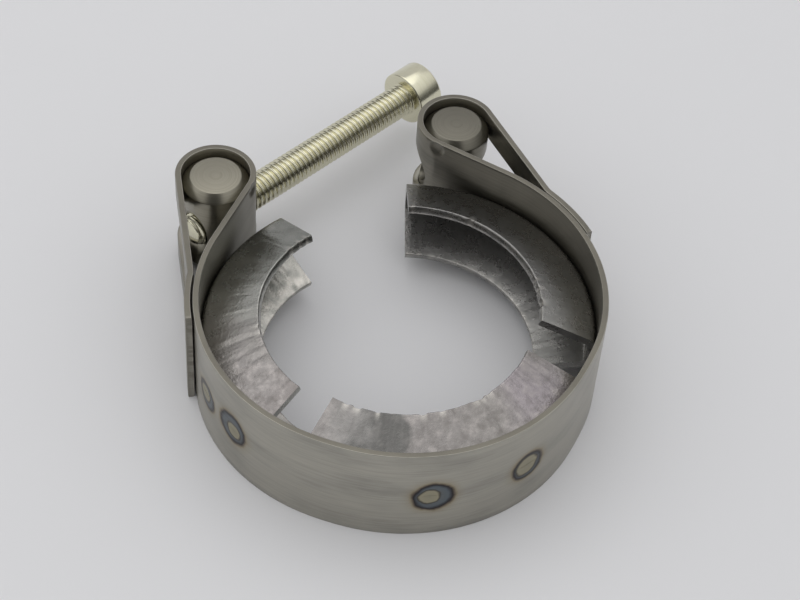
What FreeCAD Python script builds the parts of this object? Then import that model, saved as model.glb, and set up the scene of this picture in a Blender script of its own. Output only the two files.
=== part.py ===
import FreeCAD, Part
# V band clamp of 74 mm: a rolled band strip with two trunnion loops, three V section retainers,
# a tapped and a plain trunnion, and an M6 socket head screw.
#
# Frame: Z is the band's axis and its lower edge lies on Z = 0. The origin is the centre of the front
# arc of the ring, the loops and the opening are at the back (+Y), and the clamp stands open.

import math
import os
from types import SimpleNamespace

import Sketcher
from FreeCAD import Vector

SIZES = {
    # Band strip, rolled from flat strip. Radii are to the middle of the sheet.
    "band_width": 23.0,
    "strip_thickness": 1.2,
    "ring_radius": 36.4,
    # The ring is three rigid arcs joined by two spans that have flexed open.
    "left_arc_x": -2.30,
    "left_arc_y": 0.63,
    "right_arc_x": 1.60,
    "right_arc_y": 3.77,
    "left_flex_radius": 51.7,
    "right_flex_radius": 73.8,
    # Trunnion loops. A tail leaves its loop at the tail angle, bends where it comes back to the
    # ring, and follows the ring to its end.
    "loop_radius": 7.37,
    "left_loop_x": -38.76,
    "left_loop_y": 29.32,
    "right_loop_x": 7.90,
    "right_loop_y": 49.74,
    "tail_bend": 5.0,
    "left_tail_angle": 193.0,
    "left_tail_gap": 0.35,
    "left_tail_end": 194.5,
    "right_tail_angle": 30.0,
    "right_tail_gap": 0.1,
    "right_tail_end": 28.0,
    # One long slot through each loop and on down its tail, for the screw to swing in.
    "slot_width": 11.4,
    "slot_middle": 11.5,
    "slot_reach": 9.5,
    "left_slot_start": 47.7,
    "right_slot_start": 176.3,
    "slot_tail_length": 12.8,
    # Dimple pressed into the strip where each loop begins, near the upper edge.
    "dimple_ball": 3.4,
    "dimple_depth": 0.35,
    "dimple_drop": 1.8,
    # Spot welds: the electrode's dent, and the nugget that joins each tail to the ring.
    "dent_radius": 2.1,
    "dent_depth": 0.12,
    "nugget_radius": 2.0,
    "nugget_length": 1.2,
    "left_weld_angle": 187.0,
    "right_weld_angle": 38.0,
    # V section retainers, folded from thicker strip and rolled.
    "retainer_thickness": 1.6,
    "retainer_bend": 1.6,
    "retainer_web": 3.54,
    "flange_angle": 20.0,
    "flange_length": 10.03,
    "retainer_sweep": 100.0,
    # Trunnions.
    "trunnion_radius": 6.7,
    "trunnion_length": 21.6,
    "trunnion_lift": 0.7,
    "trunnion_chamfer": 1.65,
    "tapped_bore": 3.0,
    "countersink": 1.2,
    "plain_bore": 3.3,
    "spot_face_radius": 5.4,
    "spot_face_offset": 4.8,
    "plain_turn": 2.0,
    # Screw, M6 x 60, through the axis of the tapped trunnion.
    "screw_turn": 47.9,
    "screw_tip": 7.0,
    "shank_length": 60.0,
    "shank_radius": 2.95,
    "tip_bevel": 0.8,
    "head_radius": 5.0,
    "head_length": 6.0,
    "head_bevel": 0.4,
    "hex_flats": 5.0,
    "hex_depth": 3.0,
}

# The middle of each retainer: the arc it is welded to, its angle there, and its height.
RETAINERS = {
    "retainer_left": ("left", 181.8, 10.8),
    "retainer_front": ("front", -66.8, 12.5),
    "retainer_right": ("right", 44.6, 11.3),
}

# Corners in the outline of each of a retainer's two bends.
BEND_CORNERS = 2

# Spot welds through the ring into the retainers: arc, angle, height.
RING_WELDS = (
    ("left", 208.4, 11.1), ("left", 223.2, 11.7),
    ("front", -77.2, 11.1), ("front", -47.5, 11.2),
    ("right", 3.2, 11.7), ("right", 18.0, 11.1),
)


class Size:
    """A size that knows its value as well as the expression that gives it from the sheet."""

    def __init__(self, value, text=None):
        self.value = float(value)
        self.text = str(value) if text is None else text

    def __float__(self):
        return self.value

    def __neg__(self):
        return Size(-self.value, f"-({self.text})")

    def __add__(self, other):
        other = as_size(other)
        return Size(self.value + other.value, f"({self.text} + {other.text})")

    def __sub__(self, other):
        other = as_size(other)
        return Size(self.value - other.value, f"({self.text} - {other.text})")

    def __mul__(self, other):
        other = as_size(other)
        return Size(self.value * other.value, f"({self.text} * {other.text})")

    def __truediv__(self, other):
        other = as_size(other)
        return Size(self.value / other.value, f"({self.text} / {other.text})")


def as_size(number):
    """A size as it is, or a plain number made one."""
    return number if isinstance(number, Size) else Size(number)


def cosine(degrees):
    """The cosine of an angle in degrees, as a size."""
    degrees = as_size(degrees)
    return Size(math.cos(math.radians(degrees.value)), f"cos({degrees.text})")


def sine(degrees):
    """The sine of an angle in degrees, as a size."""
    degrees = as_size(degrees)
    return Size(math.sin(math.radians(degrees.value)), f"sin({degrees.text})")


doc = FreeCAD.newDocument("v_band_clamp")
sheet = doc.addObject("Spreadsheet::Sheet", "Sizes")
for row, (alias, value) in enumerate(SIZES.items(), start=1):
    sheet.set(f"A{row}", alias)
    sheet.set(f"B{row}", str(value))
    sheet.setAlias(f"B{row}", alias)
doc.recompute()
S = SimpleNamespace(**{alias: Size(value, f"Sizes.{alias}") for alias, value in SIZES.items()})

ARCS = {"left": (S.left_arc_x, S.left_arc_y), "front": (Size(0), Size(0)),
        "right": (S.right_arc_x, S.right_arc_y)}
LOOPS = {"left": (S.left_loop_x, S.left_loop_y), "right": (S.right_loop_x, S.right_loop_y)}
TAIL_ANGLES = {"left": S.left_tail_angle, "right": S.right_tail_angle}


def bind(thing, **sizes):
    """Bind properties of an object to sizes of the sheet."""
    for name, amount in sizes.items():
        thing.setExpression(name, as_size(amount).text)


def place(thing, at, height, turn=0, tip=0):
    """Bind an object's place: its position, its turn about Z and its tip about its own Y."""
    x, y, z, turn, tip = (as_size(term).text for term in (*at, height, turn, tip))
    thing.setExpression("Placement", f"placement(vector({x}; {y}; {z}); rotation({turn}; {tip}; 0))")


def along(start, distance, degrees):
    """The point at a distance from another in a direction, as a pair of sizes."""
    distance = as_size(distance)
    return (as_size(start[0]) + distance * cosine(degrees),
            as_size(start[1]) + distance * sine(degrees))


def point(pair):
    """A pair of sizes as a plain vector."""
    return Vector(float(pair[0]), float(pair[1]), 0)


def polar(centre, radius, degrees):
    """The point at a radius and an angle about a centre, as a plain vector."""
    angle = math.radians(float(degrees))
    return centre + Vector(math.cos(angle), math.sin(angle), 0) * float(radius)


def direction(start, finish):
    """The angle of the line from one point to another, in degrees."""
    return math.degrees(math.atan2(finish.y - start.y, finish.x - start.x))


# --- bent sheet ------------------------------------------------------------------------------

class Run:
    """A straight stretch of sheet between two points."""

    enters, leaves = 1, 2

    def __init__(self, start, finish):
        self.start, self.finish = start, finish

    def face(self, side):
        """The line that lies this far to the left of the sheet's middle."""
        shift = polar(Vector(), side, direction(self.start, self.finish) + 90)
        return Part.LineSegment(self.start + shift, self.finish + shift)


class Bend:
    """A round stretch of sheet about a centre. It turns left if its angles grow."""

    def __init__(self, centre, radius, begin, finish):
        self.centre, self.radius = centre, float(radius)
        self.begin, self.finish = float(begin), float(finish)
        self.left = self.finish > self.begin
        self.enters, self.leaves = (1, 2) if self.left else (2, 1)

    def face(self, side):
        """The arc that lies this far to the left of the sheet's middle."""
        radius = self.radius - side if self.left else self.radius + side
        circle = Part.Circle(self.centre, Vector(0, 0, 1), radius)
        return Part.ArcOfCircle(circle, *sorted(map(math.radians, (self.begin, self.finish))))


class BentSheet:
    """A sketch of sheet seen on edge: two faces side by side, closed by two square cuts."""

    def __init__(self, sketch, path, thickness):
        self.sketch, self.path, self.thickness = sketch, path, thickness
        half = float(thickness) / 2
        self.left, self.right = ([sketch.addGeometry(piece.face(side)) for piece in path]
                                 for side in (half, -half))
        for ids in (self.left, self.right):
            for k in range(len(path) - 1):
                self.rule("Tangent", ids[k], path[k].leaves, ids[k + 1], path[k + 1].enters)
        self.first_cut = self.cut(0, path[0].enters)
        self.last_cut = self.cut(len(path) - 1, path[-1].leaves)

    def rule(self, kind, *terms):
        """Add a constraint and return its number."""
        return self.sketch.addConstraint(Sketcher.Constraint(kind, *terms))

    def measure(self, amount, kind, *terms):
        """Add a constraint whose value is a size. Angles are drawn in radians."""
        value = math.radians(amount.value) if kind == "Angle" else amount.value
        number = self.rule(kind, *terms, value)
        self.sketch.setExpression(f"Constraints[{number}]", amount.text)

    def cut(self, k, end):
        """Close one end of the sheet square to its faces."""
        left, right = self.left[k], self.right[k]
        ends = self.sketch.getPoint(left, end), self.sketch.getPoint(right, end)
        line = self.sketch.addGeometry(Part.LineSegment(*ends))
        self.rule("Perpendicular", line, 1, left, end)
        self.rule("Coincident", line, 2, right, end)
        return line

    def bend(self, k, radius, centre=None):
        """Give a bend its radius to the middle of the sheet, and pin its centre if one is given."""
        half = self.thickness / 2
        inner, outer = (self.left, self.right) if self.path[k].left else (self.right, self.left)
        self.measure(radius - half, "Radius", inner[k])
        self.measure(radius + half, "Radius", outer[k])
        if centre:
            self.rule("Coincident", self.left[k], 3, self.right[k], 3)
            self.measure(centre[0], "DistanceX", self.left[k], 3)
            self.measure(centre[1], "DistanceY", self.left[k], 3)


def sketch_in(body, name, plane):
    """A new sketch in a body, flat on one of the body's own origin planes."""
    sketch = body.newObject("Sketcher::SketchObject", name)
    support = next(item for item in body.Origin.OriginFeatures if item.Role == plane)
    sketch.AttachmentSupport = [(support, "")]
    sketch.MapMode = "FlatFace"
    return sketch


# --- band strip ------------------------------------------------------------------------------

def crossing_tangent(ring_centre, loop, side):
    """The angle about the ring's arc at which a run leaves it to cross over to a loop."""
    reach = (S.ring_radius.value + S.loop_radius.value) / (loop - ring_centre).Length
    return direction(ring_centre, loop) + side * math.degrees(math.acos(reach))


def flexed_centre(before, after, radius):
    """The centre of an arc that joins two equal arcs of the ring smoothly."""
    reach = radius.value - S.ring_radius.value
    half = (after - before).Length / 2
    return polar((before + after) / 2, math.sqrt(reach**2 - half**2), direction(before, after) + 90)


def follow_radius(side):
    """The radius at which the middle of a tail follows its arc of the ring."""
    gap = {"left": S.left_tail_gap, "right": S.right_tail_gap}[side]
    return S.ring_radius + S.strip_thickness + gap


def tail_bend(side, turn):
    """Where a tail meets the ring: the centre of its bend, and the bend's angle about the arc.

    The bend lies outside both the tail's straight line and the arc that the tail then follows.
    turn is -1 or 1: the way from the tail's own angle round to the bend.
    """
    ring, loop, angle = point(ARCS[side]), point(LOOPS[side]), TAIL_ANGLES[side].value
    bend, follow = S.tail_bend.value, follow_radius(side).value
    line_offset = (loop - ring).dot(polar(Vector(), 1, angle)) + S.loop_radius.value + bend
    bend_at = angle + turn * math.degrees(math.acos(line_offset / (follow + bend)))
    return polar(ring, follow + bend, bend_at), bend_at


def band_path():
    """The middle of the strip, from the end of the left tail round to the end of the right one."""
    left, front, right = (point(ARCS[name]) for name in ("left", "front", "right"))
    left_loop, right_loop = point(LOOPS["left"]), point(LOOPS["right"])
    left_flex = flexed_centre(left, front, S.left_flex_radius)
    right_flex = flexed_centre(front, right, S.right_flex_radius)
    left_off = crossing_tangent(left, left_loop, 1)
    right_off = crossing_tangent(right, right_loop, -1)
    joints = [direction(left_flex, left) % 360, direction(left_flex, front) % 360,
              direction(right_flex, front) % 360, direction(right_flex, right) % 360]
    left_tail, right_tail = S.left_tail_angle.value, S.right_tail_angle.value
    left_bend, left_bend_at = tail_bend("left", -1)
    right_bend, right_bend_at = tail_bend("right", 1)
    return [
        Bend(left, follow_radius("left"), S.left_tail_end, left_bend_at),
        Bend(left_bend, S.tail_bend, left_bend_at - 180, left_tail - 180),
        Run(polar(left_bend, S.tail_bend, left_tail - 180),
            polar(left_loop, S.loop_radius, left_tail)),
        Bend(left_loop, S.loop_radius, left_tail, left_off - 180),
        Run(polar(left_loop, S.loop_radius, left_off - 180), polar(left, S.ring_radius, left_off)),
        Bend(left, S.ring_radius, left_off, joints[0]),
        Bend(left_flex, S.left_flex_radius, joints[0], joints[1]),
        Bend(front, S.ring_radius, joints[1], joints[2]),
        Bend(right_flex, S.right_flex_radius, joints[2], joints[3]),
        Bend(right, S.ring_radius, joints[3], right_off + 360),
        Run(polar(right, S.ring_radius, right_off),
            polar(right_loop, S.loop_radius, right_off + 180)),
        Bend(right_loop, S.loop_radius, right_off + 180, right_tail),
        Run(polar(right_loop, S.loop_radius, right_tail),
            polar(right_bend, S.tail_bend, right_tail + 180)),
        Bend(right_bend, S.tail_bend, right_tail + 180, right_bend_at + 180),
        Bend(right, follow_radius("right"), right_bend_at, S.right_tail_end),
    ]


def rolled_strip(path):
    """The strip before it is welded and punched: bent on edge, and padded to its width."""
    body = doc.addObject("PartDesign::Body", "rolled_strip")
    sketch = sketch_in(body, "strip_outline", "XY_Plane")
    strip = BentSheet(sketch, path, S.strip_thickness)
    (left_follow, left_bend, left_tail, left_loop, _, left_arc, left_flex, front_arc, right_flex,
     right_arc, _, right_loop, right_tail, right_bend, right_follow) = range(len(path))
    strip.bend(left_follow, follow_radius("left"), ARCS["left"])
    strip.bend(left_bend, S.tail_bend)
    strip.bend(left_loop, S.loop_radius, LOOPS["left"])
    strip.bend(left_arc, S.ring_radius, ARCS["left"])
    strip.bend(left_flex, S.left_flex_radius)
    strip.bend(front_arc, S.ring_radius)
    for face in (strip.left, strip.right):
        strip.rule("Coincident", face[front_arc], 3, -1, 1)
    strip.bend(right_flex, S.right_flex_radius)
    strip.bend(right_arc, S.ring_radius, ARCS["right"])
    strip.bend(right_loop, S.loop_radius, LOOPS["right"])
    strip.bend(right_bend, S.tail_bend)
    strip.bend(right_follow, follow_radius("right"), ARCS["right"])
    strip.measure(S.left_tail_end - 180, "Angle", strip.first_cut)
    strip.measure(S.left_tail_angle - 90, "Angle", strip.left[left_tail])
    strip.measure(S.right_tail_angle - 90, "Angle", strip.left[right_tail])
    strip.measure(S.right_tail_end - 180, "Angle", strip.last_cut)
    pad = body.newObject("PartDesign::Pad", "strip_pad")
    pad.Profile = sketch
    bind(pad, Length=S.band_width)
    return body


def cross_bar(name, start, height, turn, radius, length):
    """A round bar that lies level, from a point outwards along a turned line."""
    bar = doc.addObject("Part::Cylinder", name)
    bind(bar, Radius=radius, Height=length)
    place(bar, start, height, turn, tip=90)
    return bar


def slot_tools(side, away):
    """The punch for a loop's slot, which goes round the back of the loop and on down its tail.

    away is +90 or -90: the turn from the way the tail faces to the way it runs.
    """
    loop, tail = LOOPS[side], TAIL_ANGLES[side]
    begin = {"left": S.left_slot_start, "right": S.right_slot_start}[side]
    first, last = (begin, tail) if away > 0 else (tail, begin)
    floor = S.slot_middle - S.slot_width / 2
    finish = along(loop, S.slot_tail_length, tail + away)

    round_the_loop = doc.addObject("Part::Cylinder", f"{side}_slot_round_the_loop")
    bind(round_the_loop, Radius=S.slot_reach, Height=S.slot_width, Angle=last - first)
    place(round_the_loop, loop, floor, first)
    down_the_tail = doc.addObject("Part::Box", f"{side}_slot_down_the_tail")
    bind(down_the_tail, Length=S.slot_reach, Width=S.slot_tail_length, Height=S.slot_width)
    place(down_the_tail, loop if away > 0 else finish, floor, tail)
    ends = [cross_bar(f"{side}_slot_{end}", start, S.slot_middle, turn, S.slot_width / 2,
                      S.slot_reach)
            for end, start, turn in (("start", loop, begin), ("finish", finish, tail))]
    return [round_the_loop, down_the_tail, *ends]


def dimple_tool(side, angle):
    """A ball pressed into the outside of a loop, near the strip's upper edge."""
    ball = doc.addObject("Part::Sphere", f"{side}_dimple")
    bind(ball, Radius=S.dimple_ball)
    reach = S.loop_radius + S.strip_thickness / 2 + S.dimple_ball - S.dimple_depth
    place(ball, along(LOOPS[side], reach, angle), S.band_width - S.dimple_drop)
    return ball


def dent_tool(name, centre, surface, height, turn):
    """The flat dent that a welding electrode leaves in a surface at a radius from a centre."""
    start = along(centre, surface - S.dent_depth, turn)
    return cross_bar(name, start, height, turn, S.dent_radius, S.strip_thickness)


def band_strip():
    """The band strip: rolled, spot welded to itself at the tails, punched and dimpled."""
    path = band_path()
    half = S.strip_thickness / 2
    tail_welds = {"left": S.left_weld_angle, "right": S.right_weld_angle}
    welded = doc.addObject("Part::MultiFuse", "welded_strip")
    welded.Shapes = [rolled_strip(path)] + [
        cross_bar(f"{side}_nugget", along(ARCS[side], S.ring_radius, turn), S.slot_middle, turn,
                  S.nugget_radius, S.nugget_length) for side, turn in tail_welds.items()]
    tools = slot_tools("left", 90) + slot_tools("right", -90)
    tools += [dimple_tool("left", path[3].finish), dimple_tool("right", path[11].begin)]
    tools += [dent_tool(f"ring_dent_{number}", ARCS[arc], S.ring_radius + half, height, turn)
              for number, (arc, turn, height) in enumerate(RING_WELDS, start=1)]
    tools += [dent_tool(f"{side}_tail_dent", ARCS[side], follow_radius(side) + half, S.slot_middle,
                        turn) for side, turn in tail_welds.items()]
    punches = doc.addObject("Part::MultiFuse", "punches")
    punches.Shapes = tools
    strip = doc.addObject("Part::Cut", "band_strip")
    strip.Base, strip.Tool = welded, punches
    return strip


# --- turned pieces ---------------------------------------------------------------------------

def turned_body(body, name, plane, axis, corners, kind="PartDesign::Revolution"):
    """Turn a closed outline of pinned corners about an axis of its sketch, adding or cutting."""
    sketch = sketch_in(body, f"{name}_outline", plane)
    points = [point(corner) for corner in corners]
    lines = [sketch.addGeometry(Part.LineSegment(*ends))
             for ends in zip(points, points[1:] + points[:1])]
    for k, (line, corner) in enumerate(zip(lines, corners)):
        sketch.addConstraint(Sketcher.Constraint("Coincident", lines[k - 1], 2, line, 1))
        for way, amount in zip(("DistanceX", "DistanceY"), map(as_size, corner)):
            number = sketch.addConstraint(Sketcher.Constraint(way, line, 1, amount.value))
            sketch.setExpression(f"Constraints[{number}]", amount.text)
    turned = body.newObject(kind, f"{name}_turned")
    turned.Profile = sketch
    turned.ReferenceAxis = (sketch, [axis])
    return turned


def round_pocket(body, name, radius, offset=None):
    """A round hole across a trunnion along its own X, right through or from an offset out."""
    sketch = sketch_in(body, f"{name}_circle", "YZ_Plane")
    circle = sketch.addGeometry(Part.Circle(Vector(), Vector(0, 0, 1), float(radius)))
    sketch.addConstraint(Sketcher.Constraint("Coincident", circle, 3, -1, 1))
    number = sketch.addConstraint(Sketcher.Constraint("Radius", circle, float(radius)))
    sketch.setExpression(f"Constraints[{number}]", radius.text)
    pocket = body.newObject("PartDesign::Pocket", name)
    pocket.Profile = sketch
    pocket.Type = "ThroughAll"
    if offset is None:
        pocket.Midplane = True
    else:
        sketch.setExpression("AttachmentOffset.Base.z", offset.text)
        pocket.Reversed = True
    return pocket


def trunnion(name):
    """A trunnion: a turned round bar with a bevel at both ends, centred on its own origin."""
    body = doc.addObject("PartDesign::Body", name)
    half, rim = S.trunnion_length / 2, S.trunnion_radius - S.trunnion_chamfer
    shoulder = half - S.trunnion_chamfer
    turned_body(body, name, "XZ_Plane", "V_Axis", [
        (Size(0), -half), (rim, -half), (S.trunnion_radius, -shoulder),
        (S.trunnion_radius, shoulder), (rim, half), (Size(0), half)])
    return body


def tapped_trunnion():
    """The trunnion that the screw is threaded through, countersunk at both mouths."""
    body = trunnion("tapped_trunnion")
    outside = S.trunnion_radius + S.countersink
    mouth = S.tapped_bore + S.countersink * 2
    start = S.trunnion_radius - S.countersink
    turned_body(body, "tapped_bore", "XZ_Plane", "H_Axis", [
        (-outside, Size(0)), (-outside, mouth), (-start, S.tapped_bore),
        (start, S.tapped_bore), (outside, mouth), (outside, Size(0))], "PartDesign::Groove")
    place(body, LOOPS["left"], S.trunnion_lift + S.trunnion_length / 2, S.screw_turn)
    return body


def plain_trunnion():
    """The trunnion that the screw's head bears on: a plain hole with a flat spot face."""
    body = trunnion("plain_trunnion")
    round_pocket(body, "plain_bore", S.plain_bore)
    round_pocket(body, "spot_face", S.spot_face_radius, S.spot_face_offset)
    place(body, LOOPS["right"], S.trunnion_lift + S.trunnion_length / 2, S.plain_turn)
    return body


def screw():
    """The M6 x 60 socket head screw. Its own X is its axis, from the tapped trunnion's centre."""
    body = doc.addObject("PartDesign::Body", "screw")
    bearing = S.shank_length - S.screw_tip
    top = bearing + S.head_length
    turned_body(body, "screw", "XZ_Plane", "H_Axis", [
        (-S.screw_tip, Size(0)), (-S.screw_tip, S.shank_radius - S.tip_bevel),
        (S.tip_bevel - S.screw_tip, S.shank_radius), (bearing, S.shank_radius),
        (bearing, S.head_radius), (top - S.head_bevel, S.head_radius),
        (top, S.head_radius - S.head_bevel), (top, Size(0))])
    hexagon = sketch_in(body, "hex_outline", "YZ_Plane")
    corner = S.hex_flats / 2 / cosine(30)
    points = [polar(Vector(), corner, 60 * k + 30) for k in range(6)]
    sides = [hexagon.addGeometry(Part.LineSegment(*ends))
             for ends in zip(points, points[1:] + points[:1])]
    circle = hexagon.addGeometry(Part.Circle(Vector(), Vector(0, 0, 1), float(corner)), True)
    hexagon.addConstraint(Sketcher.Constraint("Coincident", circle, 3, -1, 1))
    number = hexagon.addConstraint(Sketcher.Constraint("Radius", circle, float(corner)))
    hexagon.setExpression(f"Constraints[{number}]", corner.text)
    for k, side in enumerate(sides):
        hexagon.addConstraint(Sketcher.Constraint("Coincident", sides[k - 1], 2, side, 1))
        hexagon.addConstraint(Sketcher.Constraint("PointOnObject", side, 1, circle))
        if k:
            hexagon.addConstraint(Sketcher.Constraint("Equal", sides[0], side))
    hexagon.addConstraint(Sketcher.Constraint("Vertical", sides[5]))
    hexagon.setExpression("AttachmentOffset.Base.z", top.text)
    socket = body.newObject("PartDesign::Pocket", "hex_socket")
    socket.Profile = hexagon
    bind(socket, Length=S.hex_depth)
    place(body, LOOPS["left"], S.slot_middle, S.screw_turn)
    return body


# --- retainers -------------------------------------------------------------------------------

def folded_face(radius):
    """One face of the folded section, at its radius in both bends, from lower lip to upper lip.

    Each bend is drawn as short flats that touch its round, one corner for every equal turn.
    """
    turn = Size(90) - S.flange_angle
    step = turn / BEND_CORNERS
    floor = S.ring_radius - S.strip_thickness / 2 - S.retainer_thickness / 2 - S.retainer_bend
    low, high = (floor, -S.retainer_web / 2), (floor, S.retainer_web / 2)
    reach = radius / cosine(step / 2)
    rising = [step * (k + 0.5) for k in range(BEND_CORNERS)]
    lower_lip = along(along(low, radius, -turn), S.flange_length, S.flange_angle + 180)
    upper_lip = along(along(high, radius, turn), S.flange_length, Size(180) - S.flange_angle)
    return [lower_lip, *(along(low, reach, angle - turn) for angle in rising),
            *(along(high, reach, angle) for angle in rising), upper_lip]


def retainer(name, arc, angle, height):
    """A V section retainer: folded sheet turned about the ring's axis, its web on the band."""
    body = doc.addObject("PartDesign::Body", name)
    half = S.retainer_thickness / 2
    outside, inside = folded_face(S.retainer_bend + half), folded_face(S.retainer_bend - half)
    turned = turned_body(body, name, "XZ_Plane", "V_Axis", outside + inside[::-1])
    turned.Midplane = True
    bind(turned, Angle=S.retainer_sweep)
    place(body, ARCS[arc], height, angle)
    return body


# --- build -----------------------------------------------------------------------------------

pieces = [band_strip(), tapped_trunnion(), plain_trunnion(), screw()]
pieces += [retainer(name, *where) for name, where in RETAINERS.items()]
doc.recompute()

for thing in doc.Objects:
    if {"Invalid", "Error"} & set(thing.State):
        raise RuntimeError(f"{thing.Label} did not compute: {thing.State}")
    if thing.TypeId in ("PartDesign::Pocket", "PartDesign::Groove"):
        if thing.Shape.Volume > thing.BaseFeature.Shape.Volume - 1:
            raise RuntimeError(f"{thing.Label} cut next to nothing")
for strip in (thing for thing in pieces if thing.TypeId == "Part::Cut"):
    if strip.Shape.Volume > strip.Base.Shape.Volume - 1:
        raise RuntimeError(f"{strip.Label} was not punched")
os.makedirs("parts", exist_ok=True)
for piece in pieces:
    shape = piece.Shape
    if shape.isNull() or not shape.isValid() or len(shape.Solids) != 1:
        raise RuntimeError(f"{piece.Label} is not one valid solid")
    shape.exportStep(f"parts/{piece.Label}.step")
    box = shape.optimalBoundingBox()
    print(f"{piece.Label}: {shape.Volume:.1f} mm3, X {box.XMin:.2f} to {box.XMax:.2f}, "
          f"Y {box.YMin:.2f} to {box.YMax:.2f}, Z {box.ZMin:.2f} to {box.ZMax:.2f}")
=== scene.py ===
"""Looks of an open V band clamp: rolled band, three V section retainers, two trunnions, one screw.

Lengths are in millimetres until a mesh is written, and then in metres. The clamp's frame is the
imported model's: Z is the band's axis, the lower edge lies on Z = 0 and the loops are at the back.
"""

from __future__ import annotations

import logging
import math
from dataclasses import dataclass, field
from enum import Enum

import bmesh
import bpy
import numpy as np
from mathutils import Matrix, Vector


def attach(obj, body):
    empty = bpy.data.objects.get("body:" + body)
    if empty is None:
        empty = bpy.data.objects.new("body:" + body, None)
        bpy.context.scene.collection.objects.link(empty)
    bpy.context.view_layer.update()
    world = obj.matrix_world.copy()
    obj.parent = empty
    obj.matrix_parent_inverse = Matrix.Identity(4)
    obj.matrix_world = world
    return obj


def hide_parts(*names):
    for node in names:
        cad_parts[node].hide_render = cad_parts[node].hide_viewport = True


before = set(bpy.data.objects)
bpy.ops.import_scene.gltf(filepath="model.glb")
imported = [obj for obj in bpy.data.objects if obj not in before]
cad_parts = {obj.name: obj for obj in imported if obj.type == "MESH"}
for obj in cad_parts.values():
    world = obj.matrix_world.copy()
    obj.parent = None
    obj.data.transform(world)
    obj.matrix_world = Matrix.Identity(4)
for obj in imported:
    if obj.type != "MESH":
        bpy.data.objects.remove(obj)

LOG = logging.getLogger("v_band_clamp")
METRES = 0.001
# A Mix node's colour sockets share their names with its other sockets, so they go by number.
MIX_A, MIX_B, MIXED = 6, 7, 2
# The flat coordinates of a turned piece grow by one millimetre for this many degrees round it.
DEGREES_PER_MM = 10.0

Colour = tuple[float, float, float, float]
Tree = bpy.types.NodeTree
Socket = bpy.types.NodeSocket


# --- small tools ------------------------------------------------------------------------------

def linear(colour: str) -> Colour:
    """Turn an sRGB hex colour into linear numbers.

    Args:
        colour: six hex digits after a hash sign.

    Returns:
        Red, green, blue, and an opacity of one.
    """
    values = [int(colour[k:k + 2], 16) / 255 for k in (1, 3, 5)]
    red, green, blue = (v / 12.92 if v <= 0.04045 else ((v + 0.055) / 1.055) ** 2.4 for v in values)
    return red, green, blue, 1.0


def grey(level: float) -> Colour:
    """A linear grey of one level."""
    return level, level, level, 1.0


def repeats(along: float, across: float) -> tuple[float, float, float]:
    """The Mapping scale at which a pattern on flat coordinates has these sizes, in millimetres."""
    return 1 / along / METRES, 1 / across / METRES, 1.0


def add_node(tree: Tree, kind: str, inputs: dict | None = None,
             stops: list[tuple[float, Colour]] | None = None, **settings: object) -> bpy.types.Node:
    """Add one node, set its properties, and set or link its inputs.

    Args:
        tree: the node tree it goes in.
        kind: the node's type name, without the "ShaderNode" that all of them begin with.
        inputs: input name or number to a value, or to another node's output.
        stops: position and colour of each stop of a colour ramp, in order.
        settings: properties of the node.

    Returns:
        The new node.
    """
    node = tree.nodes.new("ShaderNode" + kind)
    for name, value in settings.items():
        setattr(node, name, value)
    for name, value in (inputs or {}).items():
        if isinstance(value, bpy.types.NodeSocket):
            tree.links.new(value, node.inputs[name])
        else:
            node.inputs[name].default_value = value
    if stops:
        elements = node.color_ramp.elements
        while len(elements) < len(stops):
            elements.new(0.5)
        for element, (position, colour) in zip(elements, stops):
            element.position, element.color = position, colour
    return node


def polar(centre: np.ndarray, radius: float, degrees: float) -> np.ndarray:
    """The plan point at a radius and an angle about a centre."""
    angle = math.radians(degrees)
    return centre + radius * np.array([math.cos(angle), math.sin(angle)])


def heading(start: np.ndarray, finish: np.ndarray) -> float:
    """The angle of the line from one plan point to another, in degrees."""
    return math.degrees(math.atan2(finish[1] - start[1], finish[0] - start[0]))


def spaced(first: float, last: float, step: float) -> np.ndarray:
    """Evenly spaced values from first to last, no further apart than the step."""
    return np.linspace(first, last, max(2, math.ceil((last - first) / step) + 1))


def ripple(u: np.ndarray, v: np.ndarray, wave: float, seed: int, terms: int = 14) -> np.ndarray:
    """A smooth uneven field: a sum of cosines of random direction, length and phase.

    Args:
        u, v: coordinates in millimetres.
        wave: the typical wavelength in millimetres.
        seed: seed of the directions, lengths and phases.
        terms: how many cosines are added.

    Returns:
        Values of about -1 to 1, in the shape of u and v together.
    """
    rng = np.random.default_rng(seed)
    turn = rng.uniform(0, 2 * math.pi, terms)
    rate = 2 * math.pi / (wave * rng.uniform(0.6, 1.6, terms))
    phase = rng.uniform(0, 2 * math.pi, terms)
    waves = np.cos(rate * (np.cos(turn) * u[..., None] + np.sin(turn) * v[..., None]) + phase)
    return waves.sum(axis=-1) / math.sqrt(terms * 2)


def hollow(distance: np.ndarray, radius: float) -> np.ndarray:
    """A round hollow of unit depth: one at its centre, falling smoothly to nothing at its rim."""
    inside = np.clip(1 - (distance / radius) ** 2, 0, 1)
    return inside * inside * (3 - 2 * inside)


# --- meshes -----------------------------------------------------------------------------------

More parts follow.
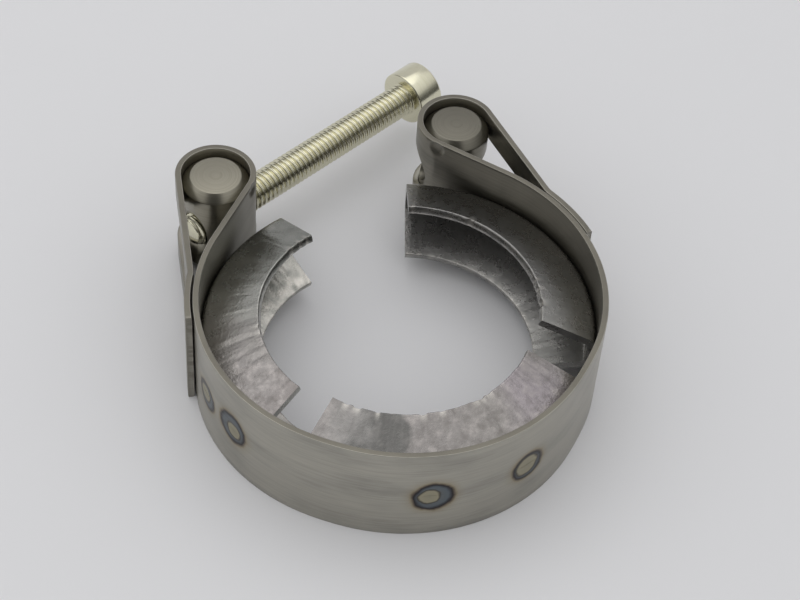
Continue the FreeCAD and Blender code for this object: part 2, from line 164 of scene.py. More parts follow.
@dataclass
class Shell:
    """A mesh put together from grids of points, welded where they meet.

    Attributes:
        name: the new object's name.
        points: each grid's points, in millimetres.
        faces: each grid's four-sided faces, as numbers of points.
        coordinates: the flat coordinates of the points, in millimetres.
        sides: the points' "side" values, which tell the finish what they belong to.
        count: how many points there are so far.
    """

    name: str
    points: list[np.ndarray] = field(default_factory=list)
    faces: list[np.ndarray] = field(default_factory=list)
    coordinates: list[np.ndarray] = field(default_factory=list)
    sides: list[np.ndarray] = field(default_factory=list)
    count: int = 0

    def grid(self, points: np.ndarray, uv: np.ndarray | None = None, side: np.ndarray | float = 0.0,
             wrap: bool = False, flip: bool = False, keep: np.ndarray | None = None) -> None:
        """Add a surface given as a grid of points.

        Args:
            points: rows by columns by 3, in millimetres.
            uv: rows by columns by 2, the flat place of each point in millimetres.
            side: a number of its own for each point, or one for all.
            wrap: whether the last column joins the first.
            flip: whether the faces are turned over.
            keep: which faces are made, rows less one by columns, or all.
        """
        rows, columns = points.shape[:2]
        uv = np.zeros((rows, columns, 2)) if uv is None else uv
        index = np.arange(rows * columns).reshape(rows, columns) + self.count
        across = np.roll(index, -1, axis=1) if wrap else index[:, 1:]
        first = index if wrap else index[:, :-1]
        quads = np.stack([first[:-1], across[:-1], across[1:], first[1:]], axis=-1)
        quads = quads.reshape(-1, 4) if keep is None else quads[keep]
        self.points.append(points.reshape(-1, 3))
        self.coordinates.append(uv.reshape(-1, 2))
        self.sides.append(np.broadcast_to(np.asarray(side, float), (rows, columns)).reshape(-1))
        self.faces.append(quads[:, ::-1] if flip else quads)
        self.count += rows * columns

    def build(self, crease: float = 35.0) -> bpy.types.Object:
        """Write the mesh in metres, weld its doubles and shade it smooth up to a crease angle.

        Args:
            crease: edges sharper than this, in degrees, stay sharp.

        Returns:
            The new object, at the origin.
        """
        points = np.concatenate(self.points) * METRES
        faces = np.concatenate(self.faces)
        uv = np.concatenate(self.coordinates) * METRES
        mesh = bpy.data.meshes.new(self.name)
        mesh.vertices.add(len(points))
        mesh.vertices.foreach_set("co", points.ravel())
        mesh.loops.add(faces.size)
        mesh.loops.foreach_set("vertex_index", faces.ravel().astype(np.int32))
        mesh.polygons.add(len(faces))
        mesh.polygons.foreach_set("loop_start", np.arange(0, faces.size, 4, dtype=np.int32))
        mesh.polygons.foreach_set("loop_total", np.full(len(faces), 4, dtype=np.int32))
        mesh.update(calc_edges=True)
        layer = mesh.uv_layers.new(name="flat")
        layer.data.foreach_set("uv", uv[faces.ravel()].ravel())
        side = mesh.attributes.new("side", "FLOAT", "POINT")
        side.data.foreach_set("value", np.concatenate(self.sides))
        piece = bpy.data.objects.new(self.name, mesh)
        bpy.context.scene.collection.objects.link(piece)
        self.tidy(piece, crease)
        return piece

    @staticmethod
    def tidy(piece: bpy.types.Object, crease: float) -> None:
        """Weld doubled points, turn all faces outwards and mark the sharp edges.

        Args:
            piece: the object whose mesh is tidied.
            crease: edges sharper than this, in degrees, stay sharp.
        """
        work = bmesh.new()
        work.from_mesh(piece.data)
        bmesh.ops.remove_doubles(work, verts=work.verts, dist=1e-6)
        bmesh.ops.dissolve_degenerate(work, edges=work.edges, dist=1e-7)
        bmesh.ops.recalc_face_normals(work, faces=work.faces)
        work.to_mesh(piece.data)
        work.free()
        piece.data.shade_smooth()
        piece.data.set_sharp_from_angle(angle=math.radians(crease))


@dataclass
class Piece:
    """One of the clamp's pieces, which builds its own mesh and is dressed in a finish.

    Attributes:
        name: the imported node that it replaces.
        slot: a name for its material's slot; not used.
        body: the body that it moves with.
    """

    name: str
    slot: str
    body: str

    def build(self) -> bpy.types.Object:
        """Make the piece's mesh, in its place."""
        raise NotImplementedError(self.name)

    def dress(self, material: bpy.types.Material) -> None:
        """Build the piece, give it its material, hang it on its body, hide the node it replaces and
        log it.

        Args:
            material: its finish.
        """
        piece = self.build()
        piece.data.materials.append(material)
        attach(piece, self.body)
        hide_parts(self.name)
        LOG.info("%s: %d faces on body %s", piece.name, len(piece.data.polygons), self.body)


# --- finishes ---------------------------------------------------------------------------------

@dataclass(frozen=True)
class Metal:
    """A bare or plated metal surface.

    Attributes:
        name: the finish, in a maker's words.
        colour: its reflection, as an sRGB hex colour.
        roughness: how far it scatters a highlight.
    """

    name: str
    colour: str
    roughness: float

    def start(self) -> tuple[bpy.types.Material, Tree, bpy.types.Node]:
        """Make the material with its metal shader.

        Returns:
            The material, its node tree and its shader node.
        """
        material = bpy.data.materials.new(self.name)
        material.use_nodes = True
        tree = material.node_tree
        shader = tree.nodes["Principled BSDF"]
        shader.inputs["Metallic"].default_value = 1.0
        shader.inputs["Base Color"].default_value = linear(self.colour)
        shader.inputs["Roughness"].default_value = self.roughness
        return material, tree, shader


@dataclass(frozen=True)
class Scorch:
    """The temper colours that one spot weld leaves, in the strip's flat coordinates.

    Attributes:
        along, height: the middle of its ring, in millimetres.
        shift: how far off that middle the nugget lies, in millimetres.
        size: how large the ring is, against the others.
        nugget: how large the nugget is in its ring, against the others.
    """

    along: float
    height: float
    shift: tuple[float, float]
    size: float
    nugget: float


@dataclass(frozen=True)
class RolledStrip(Metal):
    """Stainless steel strip, cold rolled and satin.

    The rolls leave faint streaks along it and slow clouds in its sheen. Its sheared rims are
    duller, its inner face is darkened as painted shade, and each spot weld has rings of temper
    colours round it.

    Attributes:
        streak: length and width of a rolling streak, in millimetres.
        cloud: length and width of a cloud in the sheen, in millimetres.
        ring: radius of the dark ring round a weld, in millimetres.
        reach: how far the temper colours go, against that ring.
        wobble: how far a ring strays from a circle, and over what length, in millimetres.
        inner: the painted shade on the inner face, as a colour that multiplies the strip's.
        sheared: how much duller the sheared rims are, as a colour that multiplies the strip's.
    """

    streak: tuple[float, float] = (11.0, 0.44)
    cloud: tuple[float, float] = (15.625, 4.8077)
    ring: float = 3.9
    reach: float = 1.6
    wobble: tuple[float, float] = (1.0, 2.381)
    # Painted shade: the inner face is darkened where the inside of the ring lies in shade.
    inner: str = "#D4D3D1"
    sheared: str = "#BAB8B4"

    def material(self, welds: list[Scorch]) -> bpy.types.Material:
        """Make the strip's material, with temper rings round its welds.

        Args:
            welds: the welds that show on its outside.

        Returns:
            The material.
        """
        material, tree, shader = self.start()
        flat = add_node(tree, "UVMap", uv_map="flat").outputs["UV"]
        side = add_node(tree, "Attribute", attribute_name="side").outputs["Fac"]
        # Streaks and clouds are drawn out along the strip, the way it went through the rolls.
        streaks, clouds = (add_node(tree, "TexNoise", {
            "Vector": add_node(tree, "Mapping", {
                "Vector": flat, "Scale": repeats(*size)}).outputs["Vector"],
            "Scale": 1.0, "Detail": detail}).outputs["Fac"]
            for size, detail in ((self.streak, 3.0), (self.cloud, 4.0)))
        body = add_node(tree, "ValToRGB", {"Fac": clouds}, [
            (0.30, linear("#96948C")), (0.50, linear(self.colour)), (0.70, linear("#AEABA1"))])
        lines = add_node(tree, "ValToRGB", {"Fac": streaks}, [
            (0.35, linear("#8A8780")), (0.65, linear("#C4C1B6"))])
        lined = add_node(tree, "Mix", {
            "Factor": 0.22, MIX_A: body.outputs["Color"], MIX_B: lines.outputs["Color"]},
            data_type="RGBA")
        # The "side" value is -1 at the rims, 0 on the inner face and 1 on the outer one. The inner
        # face's darker colour is painted shade.
        face = add_node(tree, "MapRange", {"Value": side, "From Min": -1.0, "From Max": 1.0})
        shade = add_node(tree, "ValToRGB", {"Fac": face.outputs["Result"]}, [
            (0.05, linear(self.sheared)), (0.35, linear(self.inner)),
            (0.55, linear(self.inner)), (0.95, linear("#FFFFFF"))])
        shaded = add_node(tree, "Mix", {
            "Factor": 1.0, MIX_A: lined.outputs[MIXED], MIX_B: shade.outputs["Color"]},
            data_type="RGBA", blend_type="MULTIPLY")
        heat, amount = self.temper(tree, flat, side, welds)
        tinted = add_node(tree, "Mix", {
            "Factor": amount, MIX_A: shaded.outputs[MIXED], MIX_B: heat}, data_type="RGBA")
        rough = add_node(tree, "MapRange", {
            "Value": streaks, "From Min": 0.3, "From Max": 0.7,
            "To Min": self.roughness - 0.05, "To Max": self.roughness + 0.08})
        bump = add_node(tree, "Bump", {
            "Height": streaks, "Strength": 0.12, "Distance": 0.04 * METRES})
        tree.links.new(tinted.outputs[MIXED], shader.inputs["Base Color"])
        tree.links.new(rough.outputs["Result"], shader.inputs["Roughness"])
        tree.links.new(bump.outputs["Normal"], shader.inputs["Normal"])
        return material

    def temper(self, tree: Tree, flat: Socket, side: Socket,
               welds: list[Scorch]) -> tuple[Socket, Socket]:
        """Add the temper colours round the welds.

        The colour depends on the distance to the nearest weld, which a little noise makes uneven:
        a straw grey nugget, a blue grey ring with a dark edge and a thin straw halo. The nugget
        lies a little off the ring's centre.

        Args:
            tree: the material's nodes.
            flat: the strip's flat coordinates.
            side: which face it is, as the colours show on the outer one only.
            welds: where the welds are.

        Returns:
            The colour, and how much of it covers the strip.
        """
        far, wave = self.wobble
        wander = add_node(tree, "TexNoise", {
            "Vector": flat, "Scale": 1 / wave / METRES, "Detail": 2.0})
        shift = add_node(tree, "VectorMath", {
            0: wander.outputs["Color"], 1: (0.5, 0.5, 0.5)}, operation="SUBTRACT")
        place = add_node(tree, "VectorMath", {
            0: shift.outputs["Vector"], 1: (far * METRES, far * METRES, 0.0), 2: flat},
            operation="MULTIPLY_ADD").outputs["Vector"]
        rings = [(weld.along, weld.height, weld.size) for weld in welds]
        nuggets = [(weld.along + weld.shift[0], weld.height + weld.shift[1],
                    weld.size * weld.nugget) for weld in welds]
        ring, nugget = self.nearest(tree, place, rings), self.nearest(tree, place, nuggets)
        around = add_node(tree, "ValToRGB", {"Fac": ring}, [
            (0.00, linear("#6A6C6B")), (0.44, linear("#626A70")), (0.52, linear("#45464B")),
            (0.57, linear("#322E2E")), (0.61, linear("#5A4D42")), (0.68, linear("#938668")),
            (1.00, linear("#A8A395"))])
        middle = add_node(tree, "ValToRGB", {"Fac": nugget}, [
            (0.00, linear("#96927F")), (0.25, linear("#A09A84")), (0.31, linear("#4A4641"))])
        core = add_node(tree, "MapRange", {
            "Value": nugget, "From Min": 0.31, "From Max": 0.36, "To Min": 1.0, "To Max": 0.0})
        colour = add_node(tree, "Mix", {
            "Factor": core.outputs["Result"], MIX_A: around.outputs["Color"],
            MIX_B: middle.outputs["Color"]}, data_type="RGBA")
        cover = add_node(tree, "ValToRGB", {"Fac": ring}, [
            (0.00, grey(0.9)), (0.56, grey(1.0)), (0.64, grey(0.8)), (0.72, grey(0.35)),
            (1.0, grey(0.0))])
        outside = add_node(tree, "Math", {0: side, 1: 0.5}, operation="GREATER_THAN")
        amount = add_node(tree, "Math", {
            0: outside.outputs["Value"], 1: cover.outputs["Color"]}, operation="MULTIPLY")
        return colour.outputs[MIXED], amount.outputs["Value"]

    def nearest(self, tree: Tree, place: Socket, spots: list[tuple[float, float, float]]) -> Socket:
        """The distance to the nearest spot, as a share of how far its colours reach.

        Args:
            tree: the material's nodes.
            place: where on the strip it is measured.
            spots: each spot's two coordinates, in millimetres, and its size against the others.

        Returns:
            The least of the spots' shares: 0 at a centre, and 1 where the colours end.
        """
        shares = []
        for along, height, size in spots:
            distance = add_node(tree, "VectorMath", {
                0: place, 1: (along * METRES, height * METRES, 0)}, operation="DISTANCE")
            shares.append(add_node(tree, "Math", {
                0: distance.outputs["Value"], 1: self.reach * self.ring * size * METRES},
                operation="DIVIDE").outputs["Value"])
        least = shares[0]
        for share in shares[1:]:
            least = add_node(tree, "Math", {0: least, 1: share},
                             operation="MINIMUM").outputs["Value"]
        return least


@dataclass(frozen=True)
class WornSteel(Metal):
    """Uncoated steel strip, folded and rolled, that has been in use.

    Its tone changes along it, it is finely mottled with pits and bright flecks, rolling has left
    it in shallow facets, and some places are brighter: its dents and worn places, a painted
    highlight on its lips and painted light on its lower flange.

    Attributes:
        tones: place along the piece, from 0 to 1, with the tone there and how mottled it is.
        pit: the colour of the pits.
        fleck: the colour of the bright flecks.
        rubbed_and_lit: the colour of the brighter places: worn metal, painted highlight and painted
            light.
        mottle: size of a mottle, in millimetres. The grain in it is five times finer.
        run: the piece's length along its bend, in millimetres.
        sway: how far the borders of the tones stray, and over what length, in millimetres.
        facet: how long and wide the facets left by rolling are, in millimetres.
        unevenness: how strong they are, from 0 to 1.
    """

    tones: tuple[tuple[float, str, float], ...] = ()
    pit: str = "#5A5450"
    fleck: str = "#C9C2BE"
    rubbed_and_lit: str = "#CFCBC4"
    mottle: float = 2.2
    run: float = 52.4
    sway: tuple[float, float] = (12.0, 6.6667)
    facet: tuple[float, float] = (3.0303, 16.6667)
    unevenness: float = 0.5

    def material(self) -> bpy.types.Material:
        """Make the worn surface, which is brighter where the "side" value is high.

        Returns:
            The material.
        """
        material, tree, shader = self.start()
        place = add_node(tree, "TexCoord").outputs["Object"]
        flat = add_node(tree, "UVMap", uv_map="flat").outputs["UV"]
        along = add_node(tree, "SeparateXYZ", {"Vector": flat}).outputs["X"]
        far, wave = self.sway
        stray = add_node(tree, "TexNoise", {
            "Vector": place, "Scale": 1 / wave / METRES, "Detail": 3.0})
        swayed = add_node(tree, "Math", {
            0: stray.outputs["Fac"], 1: far * METRES, 2: along}, operation="MULTIPLY_ADD")
        share = add_node(tree, "MapRange", {
            "Value": swayed.outputs["Value"], "From Min": (far - self.run) / 2 * METRES,
            "From Max": (far + self.run) / 2 * METRES}).outputs["Result"]
        tone, amount = (add_node(tree, "ValToRGB", {"Fac": share}, stops).outputs["Color"]
                        for stops in ([(at, linear(c)) for at, c, _ in self.tones],
                                      [(at, grey(m)) for at, _, m in self.tones]))
        mottles, grain = (add_node(tree, "TexNoise", {
            "Vector": place, "Scale": finer / self.mottle / METRES, "Detail": detail,
            "Roughness": roughness}).outputs["Fac"]
            for finer, detail, roughness in ((1, 5.0, 0.6), (5, 3.0, 0.7)))
        # Flecks, pits and fine pits: each is found where its noise is far from the middle.
        colour = tone
        for texture, low, high, ink in ((mottles, 0.50, 0.78, self.fleck),
                                        (mottles, 0.48, 0.22, self.pit),
                                        (grain, 0.60, 0.80, self.pit)):
            found = add_node(tree, "MapRange", {
                "Value": texture, "From Min": low, "From Max": high})
            dose = add_node(tree, "Math", {
                0: found.outputs["Result"], 1: amount}, operation="MULTIPLY")
            colour = add_node(tree, "Mix", {
                "Factor": dose.outputs["Value"], MIX_A: colour, MIX_B: linear(ink)},
                data_type="RGBA").outputs[MIXED]
        # The "side" value brightens the dents and worn places, and paints a highlight on the lips
        # and light on the lower flange.
        worn = add_node(tree, "Attribute", attribute_name="side")
        bright = add_node(tree, "Mix", {
            "Factor": worn.outputs["Fac"], MIX_A: colour, MIX_B: linear(self.rubbed_and_lit)},
            data_type="RGBA")
        rough = add_node(tree, "MapRange", {
            "Value": mottles, "From Min": 0.35, "From Max": 0.65,
            "To Min": self.roughness + 0.06, "To Max": self.roughness - 0.04})
        across = add_node(tree, "Mapping", {"Vector": flat, "Scale": repeats(*self.facet)})
        facets = add_node(tree, "TexNoise", {
            "Vector": across.outputs["Vector"], "Scale": 1.0, "Detail": 2.0})
        rolled = add_node(tree, "Bump", {
            "Height": facets.outputs["Fac"], "Strength": self.unevenness,
            "Distance": 0.4 * METRES})
        relief = add_node(tree, "Math", {0: grain, 1: mottles}, operation="ADD")
        bump = add_node(tree, "Bump", {
            "Height": relief.outputs["Value"], "Strength": 0.5, "Distance": 0.1 * METRES,
            "Normal": rolled.outputs["Normal"]})
        tree.links.new(bright.outputs[MIXED], shader.inputs["Base Color"])
        tree.links.new(rough.outputs["Result"], shader.inputs["Roughness"])
        tree.links.new(bump.outputs["Normal"], shader.inputs["Normal"])
        return material


@dataclass(frozen=True)
class TurnedSteel(Metal):
    """Steel turned in a lathe: the tool leaves fine lines round the piece's own axis.

    Attributes:
        feed: distance between turning lines, in millimetres, drawn as coarse as it has to be
            to show.
        around: how many degrees round the piece a line keeps its tone.
        groove: the colour in the turning lines.
    """

    feed: float = 0.15
    around: float = 833.333
    groove: str = "#7C7668"

    def material(self) -> bpy.types.Material:
        """Make the turned surface, whose lines run across the first flat coordinate.

        Returns:
            The material.
        """
        material, tree, shader = self.start()
        flat = add_node(tree, "UVMap", uv_map="flat").outputs["UV"]
        stretched = add_node(tree, "Mapping", {
            "Vector": flat, "Scale": repeats(self.feed, self.around / DEGREES_PER_MM)})
        lines = add_node(tree, "TexNoise", {
            "Vector": stretched.outputs["Vector"], "Scale": 1.0, "Detail": 2.0}).outputs["Fac"]
        body = add_node(tree, "ValToRGB", {"Fac": lines}, [
            (0.30, linear(self.groove)), (0.62, linear(self.colour))])
        bump = add_node(tree, "Bump", {
            "Height": lines, "Strength": 0.15, "Distance": 0.03 * METRES})
        tree.links.new(body.outputs["Color"], shader.inputs["Base Color"])
        tree.links.new(bump.outputs["Normal"], shader.inputs["Normal"])
        return material


# --- the strip's middle line ------------------------------------------------------------------

@dataclass(frozen=True)
class Straight:
    """A straight run of the strip's middle line, between two plan points in millimetres."""

    start: np.ndarray
    finish: np.ndarray

    @property
    def length(self) -> float:
        """How long the run is."""
        return float(np.linalg.norm(self.finish - self.start))

    def at(self, distance: np.ndarray) -> tuple[np.ndarray, np.ndarray]:
        """Points of the run: its start, and so far along its way.

        Args:
            distance: distances from the start.

        Returns:
            The points, and the unit normals to the left there.
        """
        way = (self.finish - self.start) / self.length
        points = self.start + distance[:, None] * way
        return points, np.broadcast_to([-way[1], way[0]], points.shape)


@dataclass(frozen=True)
class Arc:
    """A round bend of the middle line. It turns left if its angles, in degrees, grow."""

    centre: np.ndarray
    radius: float
    begin: float
    finish: float

    @property
    def length(self) -> float:
        """How long the bend is."""
        return self.radius * math.radians(abs(self.finish - self.begin))

    def at(self, distance: np.ndarray) -> tuple[np.ndarray, np.ndarray]:
        """Points of the bend: the angle grows or falls by the distance over the radius.

        Args:
            distance: distances from the start.

        Returns:
            The points, and the unit normals to the left there.
        """
        way = 1 if self.finish > self.begin else -1
        angle = math.radians(self.begin) + way * distance / self.radius
        outwards = np.stack([np.cos(angle), np.sin(angle)], axis=-1)
        return self.centre + self.radius * outwards, -way * outwards


class Part(Enum):
    """The parts of the strip's middle line that details are placed on, by their number."""

    LEFT_BEND = 1
    LEFT_LOOP = 3
    LEFT_RUN = 4
    LEFT_ARC = 5
    FRONT_ARC = 7
    RIGHT_LOOP = 11
    RIGHT_TAIL = 12
    RIGHT_BEND = 13


@dataclass
class MiddleLine:
    """The strip's middle line in plan, from the end of one tail to the end of the other.

    Attributes:
        pieces: its straight runs and bends, in order.
        starts: how far along it each of them starts, and then its whole length.
    """

    pieces: list[Straight | Arc]
    starts: np.ndarray = field(init=False)

    def __post_init__(self) -> None:
        """Add up the lengths."""
        self.starts = np.concatenate([[0.0], np.cumsum([piece.length for piece in self.pieces])])

    @property
    def length(self) -> float:
        """The developed length of the strip."""
        return float(self.starts[-1])

    def at(self, distance: np.ndarray) -> tuple[np.ndarray, np.ndarray]:
        """Points of the whole line.

        Args:
            distance: distances from the line's start.

        Returns:
            The points, and the unit normals to the left there.
        """
        points, normals = np.empty((len(distance), 2)), np.empty((len(distance), 2))
        which = np.clip(np.searchsorted(self.starts, distance, side="right") - 1,
                        0, len(self.pieces) - 1)
        for k, piece in enumerate(self.pieces):
            here = which == k
            if here.any():
                points[here], normals[here] = piece.at(distance[here] - self.starts[k])
        return points, normals

    def start(self, part: Part) -> float:
        """How far along the line a part of it starts."""
        return float(self.starts[part.value])

    def on_bend(self, part: Part, degrees: float) -> float:
        """How far along the line an angle on one of its bends is."""
        bend = self.pieces[part.value]
        return self.start(part) + bend.radius * math.radians(abs(degrees - bend.begin))


@dataclass(frozen=True)
class Place:
    """A place in plan, in millimetres."""

    x: float
    y: float

    @property
    def centre(self) -> np.ndarray:
        """The place as a plan point."""
        return np.array([self.x, self.y])


@dataclass(frozen=True)
class Clamp:
    """The clamp's main sizes, in millimetres and degrees.

    Attributes:
        width, thickness: of the strip.
        ring: radius of the strip's middle line where the retainers hold it round.
        left, front, right: centres of the ring's three round arcs.
        left_flex, right_flex: radii of the flatter arcs between them.
        loop: radius of the middle line in the loops.
        left_loop, right_loop: centres of the loops.
        tail_bend: radius at which a tail bends to follow the ring.
        left_tail_angle, right_tail_angle: the way that each tail faces.
        left_tail_gap, right_tail_gap: clearance between each tail and the ring.
        left_tail_end, right_tail_end: the angle on the ring at which each tail ends.
        slot_middle, slot_half: height of the slots' middle, and half their height.
        slot_tail: how far down its tail each slot reaches, to the centre of its round end.
        left_slot_start, right_slot_start: the angle on each loop of the slot's other end.
        screw_turn: the way the screw's head points.
    """

    width: float = 23.0
    thickness: float = 1.2
    ring: float = 36.4
    left: Place = Place(-2.30, 0.63)
    front: Place = Place(0.0, 0.0)
    right: Place = Place(1.60, 3.77)
    left_flex: float = 51.7
    right_flex: float = 73.8
    loop: float = 7.37
    left_loop: Place = Place(-38.76, 29.32)
    right_loop: Place = Place(7.90, 49.74)
    tail_bend: float = 5.0
    left_tail_angle: float = 193.0
    left_tail_gap: float = 0.35
    left_tail_end: float = 194.5
    right_tail_angle: float = 30.0
    right_tail_gap: float = 0.1
    right_tail_end: float = 28.0
    slot_middle: float = 11.5
    slot_half: float = 5.7
    slot_tail: float = 12.8
    left_slot_start: float = 47.7
    right_slot_start: float = 176.3
    screw_turn: float = 47.9

    def middle_line(self) -> MiddleLine:
        """Lay out the strip's middle line from these sizes.

        Each piece starts where the one before it ends, and in the same direction: the tails, the
        loops and the ring are arcs, and straight runs touch two of them.

        Returns:
            The line, from the end of the left tail to the end of the right one.
        """
        left, front, right = self.left.centre, self.front.centre, self.right.centre
        left_loop, right_loop = self.left_loop.centre, self.right_loop.centre
        left_flex = self.flex_centre(left, front, self.left_flex)
        right_flex = self.flex_centre(front, right, self.right_flex)
        left_off = self.crossing(left, left_loop, 1)
        right_off = self.crossing(right, right_loop, -1)
        joints = [heading(left_flex, left) % 360, heading(left_flex, front) % 360,
                  heading(right_flex, front) % 360, heading(right_flex, right) % 360]
        left_tail, right_tail = self.left_tail_angle, self.right_tail_angle
        left_follow = self.ring + self.thickness + self.left_tail_gap
        right_follow = self.ring + self.thickness + self.right_tail_gap
        left_bend, left_at = self.tail_foot(left, left_loop, left_tail, left_follow, -1)
        right_bend, right_at = self.tail_foot(right, right_loop, right_tail, right_follow, 1)
        return MiddleLine([
            Arc(left, left_follow, self.left_tail_end, left_at),
            Arc(left_bend, self.tail_bend, left_at - 180, left_tail - 180),
            Straight(polar(left_bend, self.tail_bend, left_tail - 180),
                     polar(left_loop, self.loop, left_tail)),
            Arc(left_loop, self.loop, left_tail, left_off - 180),
            Straight(polar(left_loop, self.loop, left_off - 180),
                     polar(left, self.ring, left_off)),
            Arc(left, self.ring, left_off, joints[0]),
            Arc(left_flex, self.left_flex, joints[0], joints[1]),
            Arc(front, self.ring, joints[1], joints[2]),
            Arc(right_flex, self.right_flex, joints[2], joints[3]),
            Arc(right, self.ring, joints[3], right_off + 360),
            Straight(polar(right, self.ring, right_off),
                     polar(right_loop, self.loop, right_off + 180)),
            Arc(right_loop, self.loop, right_off + 180, right_tail),
            Straight(polar(right_loop, self.loop, right_tail),
                     polar(right_bend, self.tail_bend, right_tail + 180)),
            Arc(right_bend, self.tail_bend, right_tail + 180, right_at + 180),
            Arc(right, right_follow, right_at, self.right_tail_end)])

    def tail_foot(self, ring: np.ndarray, loop: np.ndarray, angle: float, follow: float,
                  turn: int) -> tuple[np.ndarray, float]:
        """Where a tail meets the ring.

        The bend touches the tail's straight run on one side and the arc that the tail follows on
        the other, which gives the cosine of the angle between the two.

        Args:
            ring: the centre of the arc that the tail then follows.
            loop: the centre of the loop that it comes from.
            angle: the way that the tail faces, in degrees.
            follow: the radius at which it follows the arc.
            turn: -1 or 1, the way from the tail's angle round to the bend.

        Returns:
            The centre of its bend, and the bend's angle about the arc.
        """
        offset = float((loop - ring) @ polar(np.zeros(2), 1, angle)) + self.loop + self.tail_bend
        at = angle + turn * math.degrees(math.acos(offset / (follow + self.tail_bend)))
        return polar(ring, follow + self.tail_bend, at), at

    def crossing(self, ring: np.ndarray, loop: np.ndarray, side: int) -> float:
        """The angle on an arc of the ring at which the strip leaves it for a loop."""
        reach = (self.ring + self.loop) / np.linalg.norm(loop - ring)
        return heading(ring, loop) + side * math.degrees(math.acos(reach))

    def flex_centre(self, before: np.ndarray, after: np.ndarray, radius: float) -> np.ndarray:
        """The centre of the flatter arc that joins two arcs of the ring smoothly."""
        rise = math.sqrt((radius - self.ring) ** 2 - (np.linalg.norm(after - before) / 2) ** 2)
        return polar((before + after) / 2, rise, heading(before, after) + 90)


# --- the strip --------------------------------------------------------------------------------

@dataclass
class BandStrip(Piece):
    """The rolled strip, its two slots, its dimples and the dents of its spot welds.

    Attributes:
        clamp: the clamp's sizes.
        welds: the spot welds that show on its outside.
        round_edge: radius of its rims, in millimetres as all the sizes here.
        dimple_drop, dimple_depth, dimple_radius: how far below the upper rim a dimple's centre
            is, and the dimple's own sizes.
        dent_depth, dent_radius: sizes of a weld's dent.
        coarse, bend, weld, dimple: the mesh's steps along the strip, by what is there.
        least: the shortest step.
        below, above: the mesh's rows from the lower rim and from the upper rim to a slot's
            middle, closer together at the dimples and the dents.
    """

    clamp: Clamp
    welds: list[Scorch]
    round_edge: float = 0.16
    dimple_drop: float = 1.45
    dimple_depth: float = 0.50
    dimple_radius: float = 1.85
    dent_depth: float = 0.03
    dent_radius: float = 2.4
    coarse: float = 0.85
    bend: float = 0.3
    weld: float = 0.28
    dimple: float = 0.17
    least: float = 0.06
    below: tuple[float, ...] = (0, 2.0, 4.2, 6.2, 7.6, 8.4, 8.9, 9.3, 9.7, 10.1, 10.5, 10.9, 11.34)
    above: tuple[float, ...] = (0, 0.5, 0.85, 1.1, 1.35, 1.6, 1.85, 2.1, 2.4, 2.8, 3.4, 5.5, 7.5,
                                8.4, 8.9, 9.3, 9.7, 10.1, 10.5, 10.9, 11.34)

    def slots(self, line: MiddleLine) -> list[tuple[float, float, bool]]:
        """Each slot's two rounded ends, as distances along the strip to the ends' centres.

        Args:
            line: the strip's middle line.

        Returns:
            For each slot the first centre, the last centre, and whether the first is on the tail.
        """
        clamp = self.clamp
        return [(line.start(Part.LEFT_LOOP) - clamp.slot_tail,
                 line.on_bend(Part.LEFT_LOOP, clamp.left_slot_start), True),
                (line.on_bend(Part.RIGHT_LOOP, clamp.right_slot_start),
                 line.start(Part.RIGHT_TAIL) + clamp.slot_tail, False)]

    def dimples(self, line: MiddleLine) -> list[float]:
        """Where the two dimples are along the strip."""
        return [line.start(Part.LEFT_RUN), line.start(Part.RIGHT_LOOP)]

    def slot_half(self, s: np.ndarray, line: MiddleLine) -> np.ndarray:
        """Half the height of the slot at places along the strip.

        On the tail a slot ends in a half circle. On the loop its end is a half circle as seen
        straight on, so there the reach past the centre is the sine of the angle round the loop.

        Args:
            s: distances along the strip.
            line: the strip's middle line.

        Returns:
            Half the height, and nothing between the slots.
        """
        clamp = self.clamp
        half = np.zeros_like(s)
        nearby = clamp.slot_half + 2.3
        for first, last, tail_first in self.slots(line):
            before, after = first - s, s - last
            over_tail, over_loop = (before, after) if tail_first else (after, before)
            angle = np.clip(over_loop / clamp.loop, 0, math.pi / 2)
            reach = np.where(over_loop > 0, clamp.loop * np.sin(angle), np.maximum(over_tail, 0))
            open_here = np.sqrt(np.maximum(clamp.slot_half ** 2 - reach ** 2, 0))
            inside = (before < nearby) & (after < nearby)
            half = np.where(inside, np.maximum(half, open_here), half)
        return half

    def stations(self, line: MiddleLine) -> np.ndarray:
        """Where the mesh has its cross sections: closer together at the details.

        Args:
            line: the strip's middle line.

        Returns:
            Distances along the strip, in order and at least the shortest step apart.
        """
        clamp = self.clamp
        short, short_step, ease_steps = 2.0, 0.4, 15
        values = [spaced(a, b, self.coarse if b - a > short else short_step)
                  for a, b in zip(line.starts[:-1], line.starts[1:])]
        values += [spaced(line.start(part), line.starts[part.value + 1], self.bend)
                   for part in (Part.LEFT_BEND, Part.LEFT_LOOP, Part.RIGHT_LOOP, Part.RIGHT_BEND)]
        marks = [(weld.along, self.dent_radius + 0.2, self.weld) for weld in self.welds]
        marks += [(spot, self.dimple_radius + 0.05, self.dimple) for spot in self.dimples(line)]
        values += [np.arange(at - reach, at + reach, step) for at, reach, step in marks]
        ease = np.sin(np.linspace(0, math.pi / 2, ease_steps))
        loop_reach = clamp.loop * math.asin(clamp.slot_half / clamp.loop)
        fixed = list(line.starts)
        for first, last, tail_first in self.slots(line):
            reaches = (clamp.slot_half, loop_reach) if tail_first else (loop_reach, clamp.slot_half)
            values += [first - reaches[0] * ease, last + reaches[1] * ease]
            fixed += [first - reaches[0], last + reaches[1]]
        kept = {round(float(v), 4) for v in fixed}
        s = np.unique(np.concatenate(values).round(4))
        s = s[(s >= 0) & (s <= line.length)]
        chosen = [s[0]]
        for value in s[1:]:
            if value - chosen[-1] > self.least:
                chosen.append(value)
            elif round(float(value), 4) in kept and len(chosen) > 1:
                chosen[-1] = value
        chosen[-1] = line.length
        return np.array(chosen)

